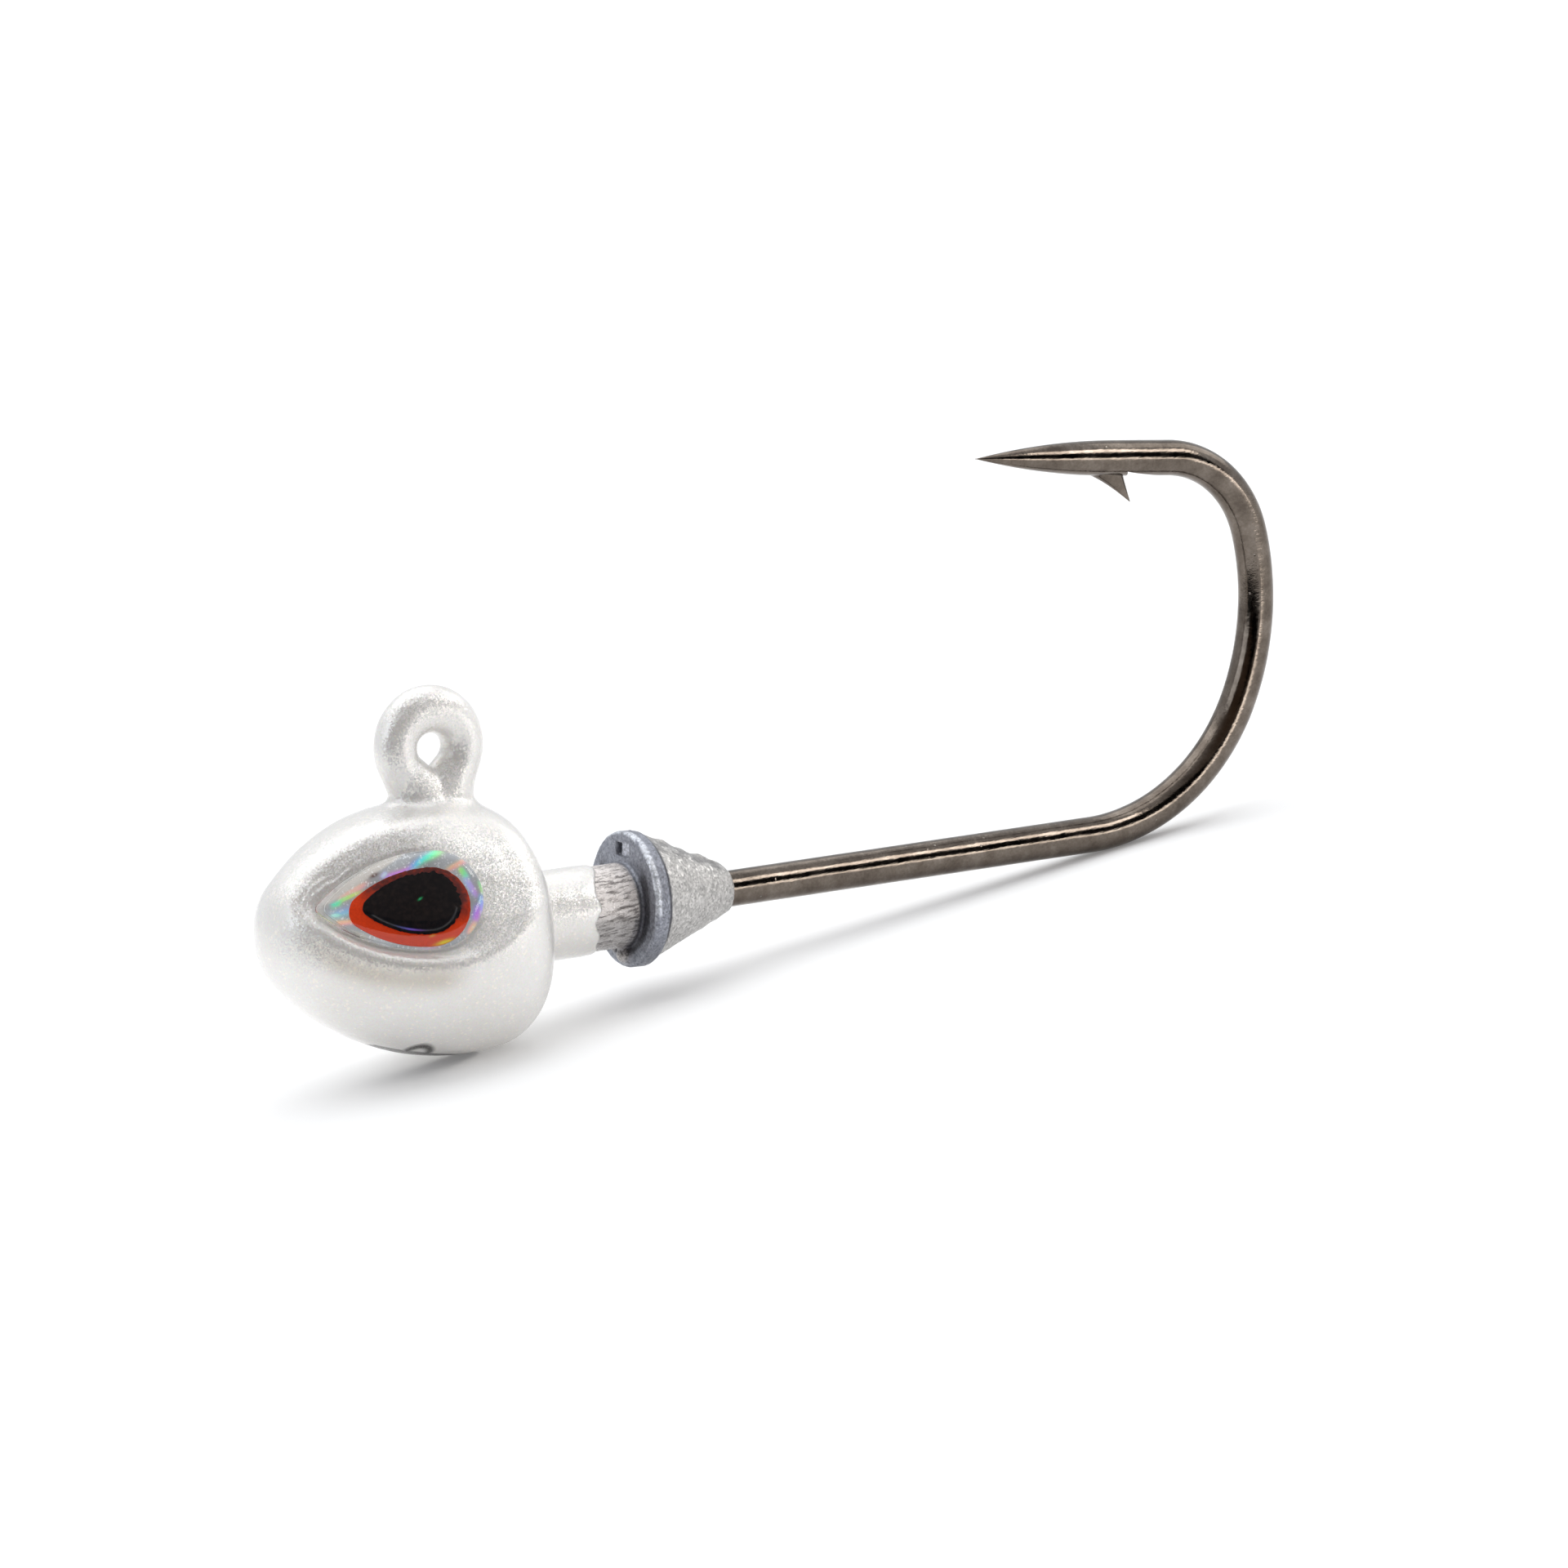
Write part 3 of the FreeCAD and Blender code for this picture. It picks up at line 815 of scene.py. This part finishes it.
def pearl_paint():
    """White base with fine flakes that lie a little askew, under a clear gloss; greyer in a band of painted
    shade under each eye.
    """
    g = Graph("pearl_paint")
    flakes = g.cells(26.0)["Color"]
    tint = g.mix(0.20, (0.85, 0.838, 0.818), flakes, "OVERLAY")
    tone = g.ramp(g.noise(0.55, 4.0), (0.3, (0.95, 0.94, 0.925)), (0.7, (1.0, 1.0, 1.0)))
    colour = g.mix(1.0, tint, tone, "MULTIPLY")
    spark = g.math("GREATER_THAN", g.dot(g.cells(13.0)["Color"], (0.4, 0.4, 0.4)), 0.93)
    colour = g.mix(g.times(spark, 0.5), colour, (1.0, 0.94, 0.84))
    tilt = g.vector_math("SUBTRACT", flakes, (0.5, 0.5, 0.5))
    normal = g.add("NewGeometry").outputs["Normal"]
    lean = g.vector_math("ADD", normal, g.scaled(tilt, (0.30, 0.30, 0.30)))
    # painted shade: a warm grey band under each eye, multiplied into the paint's colour
    colour = g.mix(g.attribute("painted_shade_below_eye"), colour, (0.66, 0.62, 0.56), "MULTIPLY")
    # printed ring and bar, the bar partly painted contact shade under the head
    colour = g.mix(g.attribute("mark"), colour, (0.045, 0.038, 0.034))
    g.set(Base_Color=colour, Metallic=0.5, Roughness=0.40, Normal=g.vector_math("NORMALIZE", lean))
    g.set(Coat_Weight=0.7, Coat_Roughness=0.18, Coat_IOR=1.4)
    return g.material


def black_nickel():
    """Smoky black-nickel plate: brownish clouds, fine draw lines along the wire, and pits."""
    g = Graph("black_nickel")
    cloud = g.math("ADD", g.times(g.noise(1.4, 4.0, 0.6), 0.7), g.times(g.noise(12.0, 4.0, 0.7), 0.3))
    colour = g.ramp(cloud, (0.36, (0.10, 0.081, 0.067)), (0.52, (0.15, 0.125, 0.104)),
                    (0.68, (0.215, 0.183, 0.157)))
    lines = g.noise(1.0, 4.0, 0.65, g.scaled(g.mm, (1.2, 9.0, 9.0)))
    pits = g.cells(3.2)
    pit = g.range(pits["Distance"], 0.05, 0.13, 1.0, 0.0)
    pit = g.times(pit, g.math("GREATER_THAN", g.dot(pits["Color"], (0.5, 0.3, 0.3)), 0.74))
    colour = g.mix(g.times(pit, 0.5), colour, (0.34, 0.32, 0.30))
    rough = g.range(g.noise(3.0, 4.0), 0.3, 0.7, 0.07, 0.18)
    height = g.math("SUBTRACT", g.times(lines, 0.5), g.times(pit, 0.8))
    height = g.math("ADD", height, g.times(g.noise(6.0, 3.0), 0.35))
    g.set(Base_Color=colour, Metallic=1.0, Roughness=rough, Normal=g.bump(height, 0.000012, 0.8))
    return g.material


def cast_lead():
    """Bare cast alloy: colours with painted light and shade stored on the mesh, under crystal speckle, with
    painted reflection streaks on the collar.
    """
    g = Graph("cast_lead")
    # the shank frame's x in millimetres, worked back from the resting slope
    along = g.dot(g.mm, (math.cos(REST_TILT), 0.0, -math.sin(REST_TILT)))
    offset = REST_SHIFT[0] * math.cos(REST_TILT) - REST_SHIFT[2] * math.sin(REST_TILT)
    x = g.math("SUBTRACT", along, offset)
    grain = g.dot(g.cells(15.0)["Color"], (0.33, 0.33, 0.33))
    fine = g.noise(13.0, 5.0, 0.75)
    speckle = g.math("ADD", g.times(grain, 0.45), g.times(fine, 0.55))
    base = g.ramp(speckle, (0.36, 0.50), (0.52, 0.78), (0.64, 1.0))
    on_collar = g.range(x, 6.3, 6.42, 1.0, 0.0)
    streaks = g.noise(1.0, 5.0, 0.7, g.scaled(g.mm, (2.4, 12.0, 12.0)))
    # painted reflections: dark and bright streaks coloured along the collar
    painted_collar_shine = g.ramp(streaks, (0.38, (0.22, 0.205, 0.20)), (0.47, (0.68, 0.65, 0.63)),
                   (0.54, (1.0, 0.97, 0.95)))
    base = g.mix(on_collar, base, painted_collar_shine)
    base = g.mix(1.0, base, g.attribute("colour_and_painted_light"), "MULTIPLY")
    rough = g.range(g.noise(7.0, 4.0), 0.3, 0.7, 0.30, 0.5)
    rough = g.math("SUBTRACT", rough, g.times(on_collar, 0.1))
    height = g.math("ADD", fine, g.times(g.times(streaks, on_collar), 1.6))
    metal = g.math("SUBTRACT", 0.8, g.times(on_collar, 0.5))
    g.set(Base_Color=base, Metallic=metal, Roughness=rough, Normal=g.bump(height, 0.00003, 0.7))
    return g.material


def holographic_foil():
    """Silver film: its spectral colours, painted rainbow reflections, are stored on the mesh, broken up by
    fine embossed lines; with painted glints and a painted glow.
    """
    g = Graph("holographic_foil")
    # painted glints: sparse cells turned bluish white
    glint = g.range(g.dot(g.cells(22.0)["Color"], (0.4, 0.4, 0.3)), 0.72, 0.9)
    colour = g.mix(g.times(glint, 0.35), g.attribute("colours_and_light"), (0.95, 0.97, 1.0))
    grooves = g.noise(1.0, 2.0, 0.5, g.scaled(g.mm, (30.0, 8.0, 8.0)))
    g.set(Base_Color=colour, Metallic=0.85, Roughness=0.32, Normal=g.bump(grooves, 0.000006, 0.5))
    # painted glow: the foil gives off its own colour, though it is no lamp
    g.set(Emission_Color=colour, Emission_Strength=0.45)
    return g.material


def iris_ink():
    """Matt print in the orange-reds stored on the mesh, with a painted yellow glint among them, and darker
    specks.
    """
    g = Graph("iris_ink")
    speck = g.noise(16.0, 3.0, 0.7)
    colour = g.mix(g.range(speck, 0.35, 0.7, 0.0, 0.25), g.attribute("colours_and_light"), (0.25, 0.02, 0.01), "MULTIPLY")
    g.set(Base_Color=colour, Roughness=0.45, Specular_IOR_Level=0.15, Normal=g.bump(speck, 0.000004, 0.5))
    return g.material


def pupil_ink():
    """Black print with a faint brown mottle, and the glints stored on the mesh."""
    g = Graph("pupil_ink")
    mottle = g.ramp(g.noise(7.0, 4.0, 0.7), (0.45, (0.006, 0.006, 0.008)), (0.75, (0.02, 0.014, 0.014)))
    g.set(Base_Color=g.mix(1.0, mottle, g.attribute("colours_and_light"), "ADD"), Roughness=0.5, Specular_IOR_Level=0.05)
    return g.material


def clear_resin():
    """Clear cast resin that lets the lamps through to the print under it."""
    g = Graph("clear_resin")
    g.set(Base_Color=(1.0, 1.0, 1.0, 1.0), Roughness=0.015, IOR=1.46, Transmission_Weight=1.0)
    g.set(Normal=g.bump(g.noise(0.8, 2.0), 0.00002, 0.25))
    mixed = g.add("MixShader")
    g.link(g.add("LightPath").outputs["Is Shadow Ray"], mixed.inputs[0])
    g.link(g.shader.outputs[0], mixed.inputs[1])
    g.link(g.add("BsdfTransparent").outputs[0], mixed.inputs[2])
    g.link(mixed.outputs[0], g.out.inputs["Surface"])
    return g.material


def adhesive_pad():
    """Milky pressure-sensitive adhesive, a little uneven."""
    g = Graph("adhesive_pad")
    colour = g.ramp(g.noise(3.0, 3.0), (0.3, (0.62, 0.61, 0.58)), (0.7, (0.78, 0.77, 0.74)))
    g.set(Base_Color=colour, Roughness=0.4, Normal=g.bump(g.noise(5.0, 2.0), 0.00001, 0.5))
    return g.material


def floor_material():
    """Seamless white paper, with a little light of its own so that it stays white."""
    g = Graph("white_paper")
    tone = g.ramp(g.noise(0.02, 2.0), (0.3, (0.90, 0.90, 0.90)), (0.7, (0.92, 0.92, 0.92)))
    g.set(Base_Color=tone, Roughness=0.9, Specular_IOR_Level=0.1, Emission_Color=tone, Emission_Strength=0.17)
    return g.material


# ---- colour stored on meshes

def blend(colour, tint, weight):
    """The colour turned into the tint by a weight from 0 to 1 at each vertex."""
    return colour * (1 - weight)[:, None] + np.asarray(tint) * weight[:, None]


def spot(u, v, cu, cv, slope, length, width):
    """A small slanting spot: 1 at its centre, falling off smoothly."""
    return np.exp(-((u - cu) / length) ** 2 - ((v - cv - slope * (u - cu)) / width) ** 2)


def eye_uv(points):
    """The first two coordinates of an eye layer's points."""
    return np.array([p[0] for p in points]), np.array([p[1] for p in points])


def eye_noise(u, v, scale, seed):
    """Perlin noise over an eye layer, about -1 to 1."""
    return np.array([noise.noise(Vector((a * scale, b * scale, seed))) for a, b in zip(u, v)])


# painted reflections: the rainbow streaks a hologram throws, fixed in the foil's colour
PAINTED_FOIL_REFLECTIONS = (  # u, v, heading in degrees, length, width, first and last hue, strength, white share
    (-0.15, 0.88, 13, 0.95, 0.17, 0.76, 0.80, 0.90, 0.25),
    (0.72, 1.20, 24, 1.15, 0.22, 0.62, 0.32, 1.00, 0.15),
    (-0.58, 0.86, 40, 0.22, 0.12, 0.60, 0.60, 0.90, 0.55),
    (1.62, 0.96, 22, 0.62, 0.14, 0.06, 0.02, 0.90, 0.25),
    (1.84, 0.72, -58, 0.40, 0.16, 0.26, 0.44, 0.90, 0.10),
    (2.00, 0.28, -66, 0.70, 0.18, 0.62, 0.76, 0.90, 0.35),
    (2.31, 0.22, -80, 0.42, 0.12, 0.40, 0.26, 1.00, 0.25),
    (2.24, -0.22, -95, 0.50, 0.14, 0.58, 0.66, 0.90, 0.20),
    (2.08, -0.50, -105, 0.50, 0.20, 0.72, 0.78, 0.85, 0.15),
    (1.90, -0.92, -128, 0.42, 0.13, 0.08, 0.04, 0.85, 0.30),
    (-1.60, 0.45, 23, 1.05, 0.20, 0.05, 0.02, 0.75, 0.35),
    (-1.72, 0.27, 20, 0.85, 0.11, 0.36, 0.16, 0.85, 0.15),
    (-2.12, 0.09, 14, 0.34, 0.10, 0.44, 0.40, 1.00, 0.10),
    (-1.80, -0.12, 4, 0.85, 0.26, 0.56, 0.58, 0.70, 0.25),
    (-2.16, -0.19, 8, 0.24, 0.10, 0.48, 0.46, 1.00, 0.40),
    (-1.88, -0.44, -3, 0.80, 0.14, 0.06, 0.04, 0.80, 0.25),
    (-1.60, -0.82, -24, 0.80, 0.15, 0.04, 0.10, 0.45, 0.50),
    (0.30, -1.42, 2, 1.20, 0.08, 0.60, 0.92, 0.40, 0.40),
)


def foil_painted_rainbows(points):
    """Painted rainbow reflections over silver, a bare strip above the tip end, and one brown fleck."""
    u, v = eye_uv(points)
    wave = eye_noise(u, v, 1.3, 2.2)
    colour = np.array((0.34, 0.36, 0.38)) * (1 + 0.35 * wave)[:, None]
    for cu, cv, heading, length, width, hue_a, hue_b, strength, white in PAINTED_FOIL_REFLECTIONS:
        c, s = math.cos(math.radians(heading)), math.sin(math.radians(heading))
        p = ((u - cu) * c + (v - cv) * s) / (length / 2)
        q = (-(u - cu) * s + (v - cv) * c) / (width / 2) + 0.6 * wave
        weight = strength * np.exp(-p ** 4 - q ** 2)
        hue = between(hue_a, hue_b, np.clip(p * 0.5 + 0.5, 0, 1)) + 0.05 * q
        bright = rainbow(hue) ** 1.2 * (1 - white) + white
        colour = blend(colour, bright, weight)
    bare = np.clip((v - 0.04 - 0.53 * (u + 2.37)) / 0.08, 0, 1) * np.clip((0.5 - u) / 0.3, 0, 1)
    colour = blend(colour, (0.55, 0.53, 0.50), bare)
    colour = blend(colour, (0.10, 0.03, 0.02), spot(u, v, -0.88, 0.85, 0.3, 0.13, 0.055))
    return np.clip(colour, 0, 1)


def band(value, low, high, soft):
    """1 between two limits, falling to 0 over a soft edge on each side."""
    return np.clip((value - low) / soft + 0.5, 0, 1) * np.clip((high - value) / soft + 0.5, 0, 1)


def lead_colours_and_painted_light(points):
    """Colours of the bare alloy with painted light and shade: painted shade under the collar and in the ring
    beside it, a blue-grey rim with a painted highlight on its edge, painted light on the mark's face and
    painted shade in the step behind it, and a warm pale cone with a painted shaded strip and painted glints
    along its top.
    """
    x, y, z = points.T
    x, z = keeper_frame(x, z)
    r = np.hypot(y, z)
    turn = np.degrees(np.arctan2(np.abs(y), z))
    patchiness = 0.5 + 0.5 * fractal(points, 2.1, 3)
    speck_noise = 0.5 + 0.5 * fractal(points + 5.7, 8.0, 2)
    zones = (  # the alloy's colour and its share, where each measure lies between limits with soft edges
        ((0.62, 0.605, 0.59), 1.0),
        ((0.78, 0.765, 0.75), 0.6, (x, 7.1, 10, 0.3), (turn, 60, 181, 50), (patchiness, 0.3, 2, 0.3)),
        # painted glints: specks brighter than white along the cone's upper side
        ((1.15, 1.12, 1.09), 1.0, (x, 7.0, 9.6, 0.2), (turn, 10, 62, 14), (speck_noise, 0.68, 2, 0.06)),
        # painted shade: a darker strip along the cone's top, beside the flash
        ((0.30, 0.29, 0.29), 0.75, (x, 7.0, 9.8, 0.2), (turn, 6, 34, 8), (patchiness, 0.38, 2, 0.15)),
        ((0.36, 0.375, 0.43), 1.0, (x, 6.3, 7.08, 0.04)),
        # painted light on the face of the moulded mark
        ((0.8, 0.82, 0.90), 1.0, (x, 6.3, 6.75, 0.04), (y, -0.4, 0.24, 0.04), (z, 1.36, 1.78, 0.04)),
        # painted highlight along the rim's front edge
        ((0.85, 0.88, 0.95), 1.0, (x, 6.3, 6.70, 0.04), (r, 2.05, 3, 0.04), (turn, -1, 100, 30),
         (patchiness, 0.36, 2, 0.2)),
        # painted shade in the step between the rim and the cone
        ((0.10, 0.10, 0.12), 1.0, (x, 7.0, 7.16, 0.05), (turn, 15, 130, 20)),
        # painted shade in the ring between the collar and the rim
        ((0.13, 0.13, 0.15), 1.0, (x, 6.2, 6.62, 0.04), (r, 1.28, 1.72, 0.12), (turn, 50, 181, 20)),
        ((1.0, 0.97, 0.96), 1.0, (x, 0, 6.36, 0.05), (r, 0, 1.36, 0.03)),
        # painted shade: the collar's underside darker
        ((0.5, 0.5, 0.52), 0.6, (x, 0, 6.36, 0.05), (turn, 105, 181, 25)),
    )
    colour = np.zeros((len(x), 3))
    for tint, share, *limits in zones:
        weight = np.ones_like(x)
        for limit in limits:
            weight = weight * band(*limit)
        colour = blend(colour, tint, weight * share)
    return colour


def print_and_contact_shade(x, y, z):
    """A printed oval ring on a tapering bar, under the head on the -Y side, the bar widened into painted
    contact shade on the underside nearest the floor: 1 on its lines, 0 elsewhere.
    """
    ring = np.hypot((x + 1.68) / 0.62, y + 1.32)
    line = np.clip(1.4 - np.abs(ring - 0.52) / 0.2, 0, 1)
    # the bar: a printed line widened into painted contact shade
    bar = np.clip((y + 1.42 - 0.55 * ((x + 1.1) / 1.8) ** 2) / 0.14, 0, 1)
    bar = bar * (y < -0.1) * (x > -2.9) * (x < 0.7)
    return np.maximum(line, bar) * (z < -2.5)


def shade_below_eye(x, y, z):
    """Painted shade: a soft grey band under each eye's lower edge."""
    u, v, _ = eye_uvw(x, y, z)
    below = np.exp(-((teardrop_field(u, v, DOME_SIZE) - 0.95) / 0.36) ** 2)
    below = below * np.clip((-0.5 - v) / 0.5, 0, 1)
    return below * band(u, -2.9, 1.5, 1.2) * 0.8


def iris_print_and_glint(points):
    """Orange-red, going to dark brown-red beside the pupil's upper edge, with one yellow glint."""
    u, v = eye_uv(points)
    near = np.clip(1.45 - teardrop_field(u, v, PUPIL_SIZE) / 0.27, 0, 1)
    upper = np.clip((v + 0.5 + 0.32 * (u - 0.6)) / 0.5, 0, 1)
    speck_noise = 0.5 * eye_noise(u, v, 12, 5.5) * upper * np.clip(near * 3, 0, 1)
    colour = blend(np.array((0.80, 0.055, 0.008)), (0.13, 0.028, 0.024), np.clip(near * upper + speck_noise, 0, 1))
    # painted glint: a yellow highlight coloured into the print
    colour = blend(colour, (0.95, 0.85, 0.02), spot(u, v, 1.06, -1.28, 0.2, 0.26, 0.05))
    return blend(colour, (0.8, 0.35, 0.02), spot(u, v, 0.70, -1.08, 0.2, 0.09, 0.03))


def pupil_painted_light(points):
    """Light that the clear lens throws on the black print: a green pinpoint and a violet lower edge."""
    u, v = eye_uv(points)
    colour = spot(u, v, 0.43, 0.04, 0.4, 0.06, 0.03)[:, None] * np.array((0.02, 0.5, 0.16))
    edge = np.exp(-((teardrop_field(u, v, PUPIL_SIZE) + 0.11) / 0.022) ** 2) * (v < -0.3)
    glow = np.exp(-((u - 0.05) / 0.3) ** 2)[:, None]
    violet = rainbow(0.68 + 0.1 * np.clip(u, -1, 1))
    return colour + edge[:, None] * (0.07 * (1 - glow) + 0.75 * glow * violet)


# ---- build

def make_paint(material):
    """The paint's skin, gently uneven, with the printed mark and its painted contact shade, and the painted
    shade under the eyes, stored on it.
    """
    points, quads, normals = surface_nets(paint_field, PAINT_BOX, PAINT_CELL)
    points = points + normals * (0.006 * fractal(points, 1.6, 2))[:, None]
    obj = add_object("paint_skin", points, quads, "paint_coat", "pearl_paint", material)
    paint_vertices(obj, "mark", print_and_contact_shade(*points.T)[:, None])
    paint_vertices(obj, "painted_shade_below_eye", shade_below_eye(*points.T)[:, None])


def make_lead(material):
    """The casting, rough all over and roughest on the cone, with its colours and painted light and shade
    stored on it.
    """
    points, quads, normals = surface_nets(lead_field, LEAD_BOX, LEAD_CELL)
    rough = fractal(points, 3.2, 4)
    fine = fractal(points + 11.3, 9.0, 2)
    cone = np.clip((points[:, 0] - 6.9) / 0.3, 0, 1)
    amount = 0.008 * rough + (0.004 + 0.005 * cone) * fine
    points = points + normals * amount[:, None]
    obj = add_object("lead_casting", points, quads, "lead_body", "cast_lead", material)
    paint_vertices(obj, "colour_and_painted_light", lead_colours_and_painted_light(points))


def make_eyes(inks):
    """Both eyes, from the glue up to the lens. The right one mirrors the left."""
    foil_top = ADHESIVE + FOIL
    iris_top = foil_top + PRINT
    # the colours stored on the eye layers include painted reflections, glints and light
    layers = (  # outline, underside, top, raggedness, growth and the colours on its mesh
        ("adhesive", DOME_SIZE, 0.0, ADHESIVE, 0.0, -0.06, None),
        ("foil", FOIL_SIZE, ADHESIVE, foil_top, 0.0, 0.0, foil_painted_rainbows),
        ("iris", IRIS_SIZE, foil_top, iris_top, 0.012, 0.0, iris_print_and_glint),
        ("pupil", PUPIL_SIZE, iris_top, foil_top + 2 * PRINT, 0.085, 0.0, pupil_painted_light),
    )
    for name, side in (("left", -1), ("right", 1)):
        for layer, size, low, high, rough, grow, colours_and_light in layers:
            rings = COLOUR_RINGS if colours_and_light else PLAIN_RINGS
            skin, flat = plate(side, size, low, high, rough, rings, grow)
            node = f"{name}_eye_{layer}"
            obj = add_object(f"{node}_print", *skin, node, f"eye_{layer}", inks[layer])
            if colours_and_light:
                paint_vertices(obj, "colours_and_light", colours_and_light(flat))
        lens = dome(side, ADHESIVE + 0.5 * FOIL, foil_top + 0.1)
        add_object(f"{name}_eye_dome_lens", *lens, f"{name}_eye_dome", "eye_dome", inks["dome"])


def make_camera():
    """The photograph's viewing angle: a long lens, low on the head's left and a little turned."""
    a, e = VIEW_AZIMUTH, VIEW_ELEVATION
    back = Vector((math.sin(a) * math.cos(e), -math.cos(a) * math.cos(e), math.sin(e)))
    level = Vector((math.cos(a), math.sin(a), 0.0))
    lift = back.cross(level)
    right = math.cos(VIEW_ROLL) * level - math.sin(VIEW_ROLL) * lift
    up = math.sin(VIEW_ROLL) * level + math.cos(VIEW_ROLL) * lift
    eye = to_world([tuple(VIEW_TARGET + back * VIEW_DISTANCE)])[0]
    data = bpy.data.cameras.new("camera")
    data.lens = LENS
    data.sensor_width = 36.0
    data.clip_start = 0.01
    data.clip_end = 20.0
    cam = place_in_scene("camera", data)
    r, u, b = turn_world(right), turn_world(up), turn_world(back)
    matrix = Matrix(((r.x, u.x, b.x), (r.y, u.y, b.y), (r.z, u.z, b.z)))
    cam.matrix_world = Matrix.Translation(Vector(eye)) @ matrix.to_4x4()
    bpy.context.scene.camera = cam


def sheet(name, rows, material):
    """A surface through equal rows of points, in world metres."""
    n = len(rows[0])
    faces = [(j * n + i, j * n + i + 1, (j + 1) * n + i + 1, (j + 1) * n + i)
             for j in range(len(rows) - 1) for i in range(n - 1)]
    mesh = bpy.data.meshes.new(name)
    mesh.from_pydata([point for row in rows for point in row], [], faces)
    mesh.materials.append(material)
    return place_in_scene(name, mesh)


def make_floor():
    """White paper under the jig."""
    n, size = 24, 1.2
    marks = [size * (2 * i / n - 1) for i in range(n + 1)]
    floor = sheet("floor", [[(x, y, 0.0) for x in marks] for y in marks], floor_material())


def make_card(name, rows, glow):
    """A card that only gloss can see, black or glowing white."""
    g = Graph(name)
    shade = 0.8 if glow else 0.004
    g.set(Base_Color=(shade, shade, shade, 1.0), Roughness=1.0, Specular_IOR_Level=0.0)
    g.set(Emission_Color=(1.0, 0.97, 0.93, 1.0), Emission_Strength=glow)
    card = sheet(name, rows, g.material)
    card.visible_camera = card.visible_diffuse = card.visible_shadow = card.visible_transmission = False


def make_cards():
    """What the plate mirrors: three cards to the lens's right, and a black one round the front and left."""
    for name, low, high, left, glow in FRONT_CARDS:
        turns = [math.radians(low + (high - low) * k / 12) for k in range(13)]
        arc = [(-CARD_R * math.cos(t), 0.003 + CARD_R * math.sin(t)) for t in turns]
        make_card(name, [[(x, y, z) for y, z in arc] for x in (left, 0.085)], glow)
    turns = [math.radians(-84.0 + 76.0 * k / 24) for k in range(25)]
    arc = [(0.016 + SIDE_CARD_R * math.sin(t), -SIDE_CARD_R * math.cos(t)) for t in turns]
    make_card("side_black", [[(x, y, z) for x, y in arc] for z in (0.002, 0.023)], 0.0)


def make_light(name, position, size, power, colour):
    """A soft box: a rectangular area light that faces the jig. Metres and watts."""
    data = bpy.data.lights.new(name, "AREA")
    data.shape = "RECTANGLE"
    data.size, data.size_y = size
    data.energy = power
    data.color = colour
    light = place_in_scene(name, data)
    light.location = position
    aim = Vector(position) - Vector(LIGHT_TARGET)
    light.rotation_euler = aim.to_track_quat("Z", "Y").to_euler()


def make_world():
    """White surroundings to look at, and a pale room with a dark side for gloss to mirror."""
    world = bpy.data.worlds.new("studio")
    bpy.context.scene.world = world
    world.use_nodes = True
    tree = world.node_tree
    tree.nodes.clear()
    kinds = ("OutputWorld", "Background", "Background", "TexCoord", "VectorMath", "ValToRGB",
             "LightPath", "MixShader")
    out, seen, room, coords, side, ramp, path, mix = [tree.nodes.new("ShaderNode" + kind) for kind in kinds]
    seen.inputs[0].default_value = (1, 1, 1, 1)
    side.operation = "DOT_PRODUCT"
    side.inputs[1].default_value = DARK_SIDE
    ramp.color_ramp.interpolation = "EASE"
    stops = ((0.15, (0.70, 0.715, 0.735, 1)), (0.92, (0.10, 0.07, 0.05, 1)))
    for element, (at, colour) in zip(ramp.color_ramp.elements, stops):
        element.position = at
        element.color = colour
    room.inputs[1].default_value = 1.12
    for a, b in ((coords.outputs["Generated"], side.inputs[0]), (side.outputs["Value"], ramp.inputs[0]),
                 (ramp.outputs[0], room.inputs[0]), (path.outputs["Is Camera Ray"], mix.inputs[0]),
                 (room.outputs[0], mix.inputs[1]), (seen.outputs[0], mix.inputs[2]),
                 (mix.outputs[0], out.inputs[0])):
        tree.links.new(a, b)


def main():
    make_camera()
    make_floor()
    make_world()
    bpy.context.scene.view_settings.view_transform = "Standard"
    for light in LIGHTS:
        make_light(*light)
    make_cards()
    make_hook(black_nickel())
    make_lead(cast_lead())
    make_paint(pearl_paint())
    make_eyes({"adhesive": adhesive_pad(), "foil": holographic_foil(), "iris": iris_ink(),
               "pupil": pupil_ink(), "dome": clear_resin()})


main()
